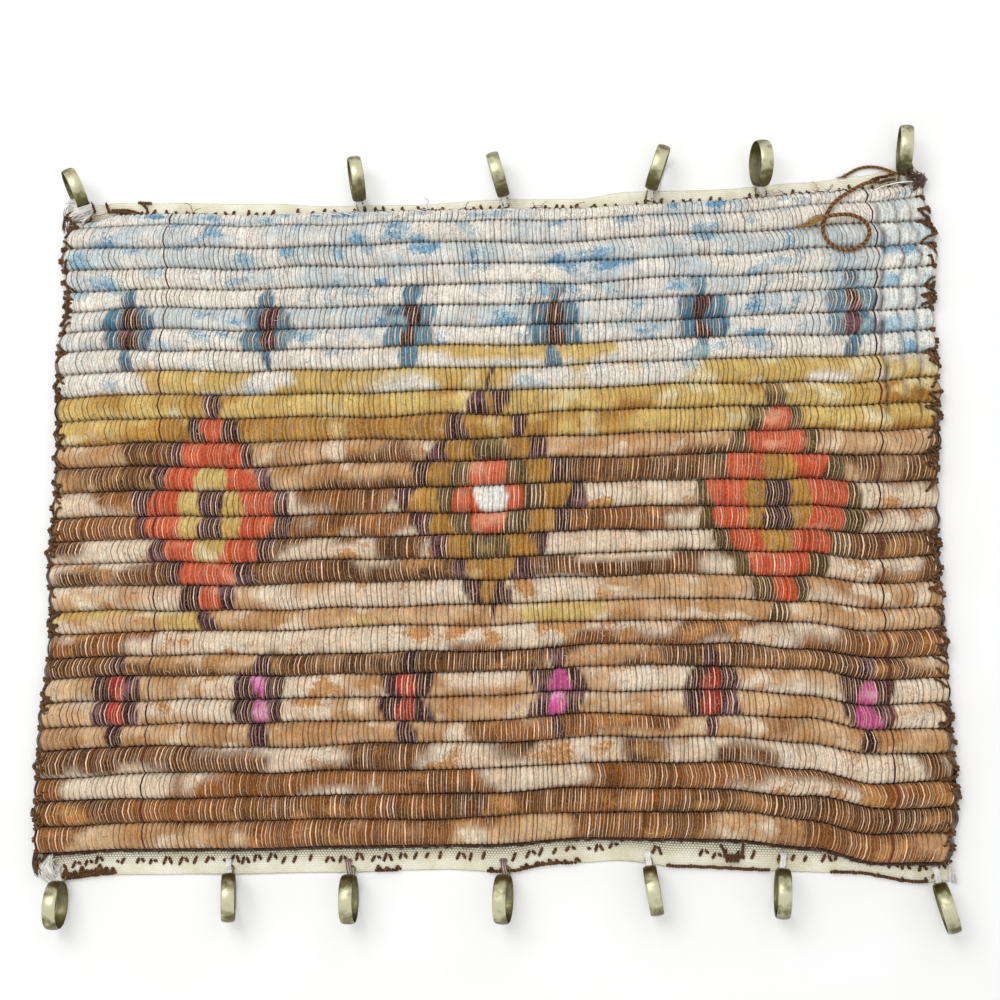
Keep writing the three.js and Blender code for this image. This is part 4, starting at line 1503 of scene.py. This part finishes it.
# thin frayed ends of warp along both edges of the wool, and dark tangles in three corners
frays = {
    "radius": 0.3,
    "tangles": (
        ((371, 290, 6), (382, 283, 8), (2, 4), 4, 2.4, 40, 71),
        ((375, 279, 9), (381, 289, 6), (4, 0), 3, 2.0, 30, 72),
        ((-384, -285, 7), (-383, -302, 4), (-2, 0), 3, 1.5, 34, 74),
        ((-380, 284, 9), (-384, 270, 6), (-2, 0), 3, 1.8, 16, 75)),
    "upper": ((258, 272, 8), (286, 312, 16), (-365, -352, 7), (78, 88, 6), (-90, 60, 18),
              (-330, -240, 14)),             # from x, to x, and how many
    "lower": 30,
    "short": 340,
}
frayThread = strandFinish("frayThread", "3a1c1c", "f0c2b2", turns=60.0)


def wander(spot, heading, turn, count, step):
    # a fibre that leaves a spot and turns a little at every step
    points = [place(*spot)]
    for k in range(count):
        heading += draw.uniform(-turn, turn)
        spot += step(math.cos(heading), math.sin(heading))
        points.append(place(spot.x, spot.y, max(2.2, spot.z)))
    return points


frayRoutes = []
for ends in frays["tangles"]:
    frayRoutes += bundle(*ends)
tangled = len(frayRoutes)
for first, last, count in frays["upper"]:
    for i in range(count):
        x = draw.uniform(first, last)
        spot = Vector((x, edgeAt(cloth["top"], x) + draw.uniform(-3, 2), draw.uniform(7, 9.5)))
        frayRoutes.append(roundRoute(wander(
            spot, draw.uniform(0, 6.28), 0.9, draw.choice((3, 5, 7)),
            lambda ahead, aside: Vector((ahead, 0.7 * aside, draw.uniform(-0.5, 0.2))) * 2.4), 1.1 * mm))
for i in range(frays["lower"]):
    x = draw.choice((draw.uniform(-222, -190), draw.uniform(-376, 376)))
    spot = Vector((x, edgeAt(cloth["bottom"], x) + 2, 9.5))
    frayRoutes.append(roundRoute(wander(
        spot, draw.uniform(3.6, 5.8), 0.8, 4,
        lambda ahead, aside: Vector((ahead, aside * 0.6, -0.7)) * 2.2), 1.1 * mm))
for i in range(frays["short"]):
    # short dark fibres under the last row
    x = draw.uniform(-376, 374)
    spot = Vector((x, edgeAt(cloth["bottom"], x) + 1.0, draw.uniform(5, 9)))
    frayRoutes.append(wander(spot, draw.uniform(3.3, 6.1), 0.7, 3,
                             lambda ahead, aside: Vector((2.2 * ahead, 1.7 * aside, -0.9))))
shortFrom = len(frayRoutes) - frays["short"]
frayTints = [draw.uniform(0.0, 1.0 if tangled <= number < shortFrom else 0.3)
             for number in range(len(frayRoutes))]
strandPiece("frayedWarpEnds", frayRoutes, frays["radius"], 4, frayTints, frayThread, "yarn")

# near-black strands under the last row, a painted shadow where the wool overhangs the tape
edgeShadow = {"radius": 1.4, "points": 150, "span": (-379, 378), "tints": (0.0, 0.15, 0.05)}
underRoutes = []
for lane in range(len(edgeShadow["tints"])):
    points = []
    for k in range(edgeShadow["points"]):
        x = mix(*edgeShadow["span"], k / (edgeShadow["points"] - 1))
        y = edgeAt(cloth["bottom"], x) + 0.2 - 0.7 * lane + 1.1 * wave(x * 0.11, lane * 3.0, 4.0)
        points.append(place(x, y, 5.2 - 1.1 * lane + 1.0 * wave(x * 0.16, lane * 2.0, 8.0)))
    underRoutes.append(roundRoute(points, 2.4 * mm))
strandPiece("lowerEdgeShadow", underRoutes, edgeShadow["radius"], 6, edgeShadow["tints"], brownYarn, "wool",
            swell=lambda number, i, count: 1.0 + 1.1 * wave(i * 0.51, number * 5.0, 6.0))
print("tape stitches made")


# ---- floor, backdrop and light
stage = {
    "floor": 8.0,
    "below": 0.0002,             # the floor's top lies just under the part
    "fade": (0.8, 2.0),          # metres from the middle over which the floor becomes plain white
    "key": 15.0,
    "keySize": 1.2,
    "keyPlace": (-0.6, 0.9, 2.0),
    "sky": 0.83,
}
bm = bmesh.new()
bmesh.ops.create_grid(bm, x_segments=1, y_segments=1, size=stage["floor"])
floor = meshPiece("paleFloor", bm, smooth=False)
floorMaterial, bench, sockets = openMaterial("palePaper", 0.9, specular=0.1)
paper = bench.noise(bench.objectPlace(), 9.0, 2.0)
bench.feed(sockets["Base Color"], bench.blend(bench.span(paper, 0.3, 0.7), shade("ffffff"), shade("fcfcfb")))
floor.data.materials.append(floorMaterial)
away = bench.add("ShaderNodeVectorMath", operation="LENGTH")
bench.feed(away.inputs[0], bench.objectPlace())
glow = bench.add("ShaderNodeEmission")
ground = bench.add("ShaderNodeMixShader")
nodes = floorMaterial.node_tree.nodes
bench.feed(ground.inputs[0], bench.times(bench.seen(), bench.span(away.outputs["Value"], *stage["fade"])))
bench.feed(ground.inputs[1], nodes["Principled BSDF"].outputs[0])
bench.feed(ground.inputs[2], glow.outputs[0])
bench.feed(nodes["Material Output"].inputs["Surface"], ground.outputs[0])
for vert in floor.data.vertices:
    vert.co.z = -stage["below"]

world = bpy.data.worlds.new("studio")
scene.world = world
world.use_nodes = True
bench = NodeBench(world.node_tree)
background = world.node_tree.nodes["Background"]
background.inputs["Color"].default_value = (1, 1, 1, 1)
bench.feed(background.inputs["Strength"], bench.timesPlus(bench.seen(), 1.0 - stage["sky"], stage["sky"]))
lampData = bpy.data.lights.new("keyLamp", "AREA")
lampData.energy = stage["key"]
lampData.size = stage["keySize"]
keyLamp = bpy.data.objects.new("keyLamp", lampData)
keyLamp.location = stage["keyPlace"]
keyLamp.rotation_euler = Vector(stage["keyPlace"]).to_track_quat("Z", "Y").to_euler()
scene.collection.objects.link(keyLamp)
scene.view_settings.view_transform = "Standard"
print("stage set")
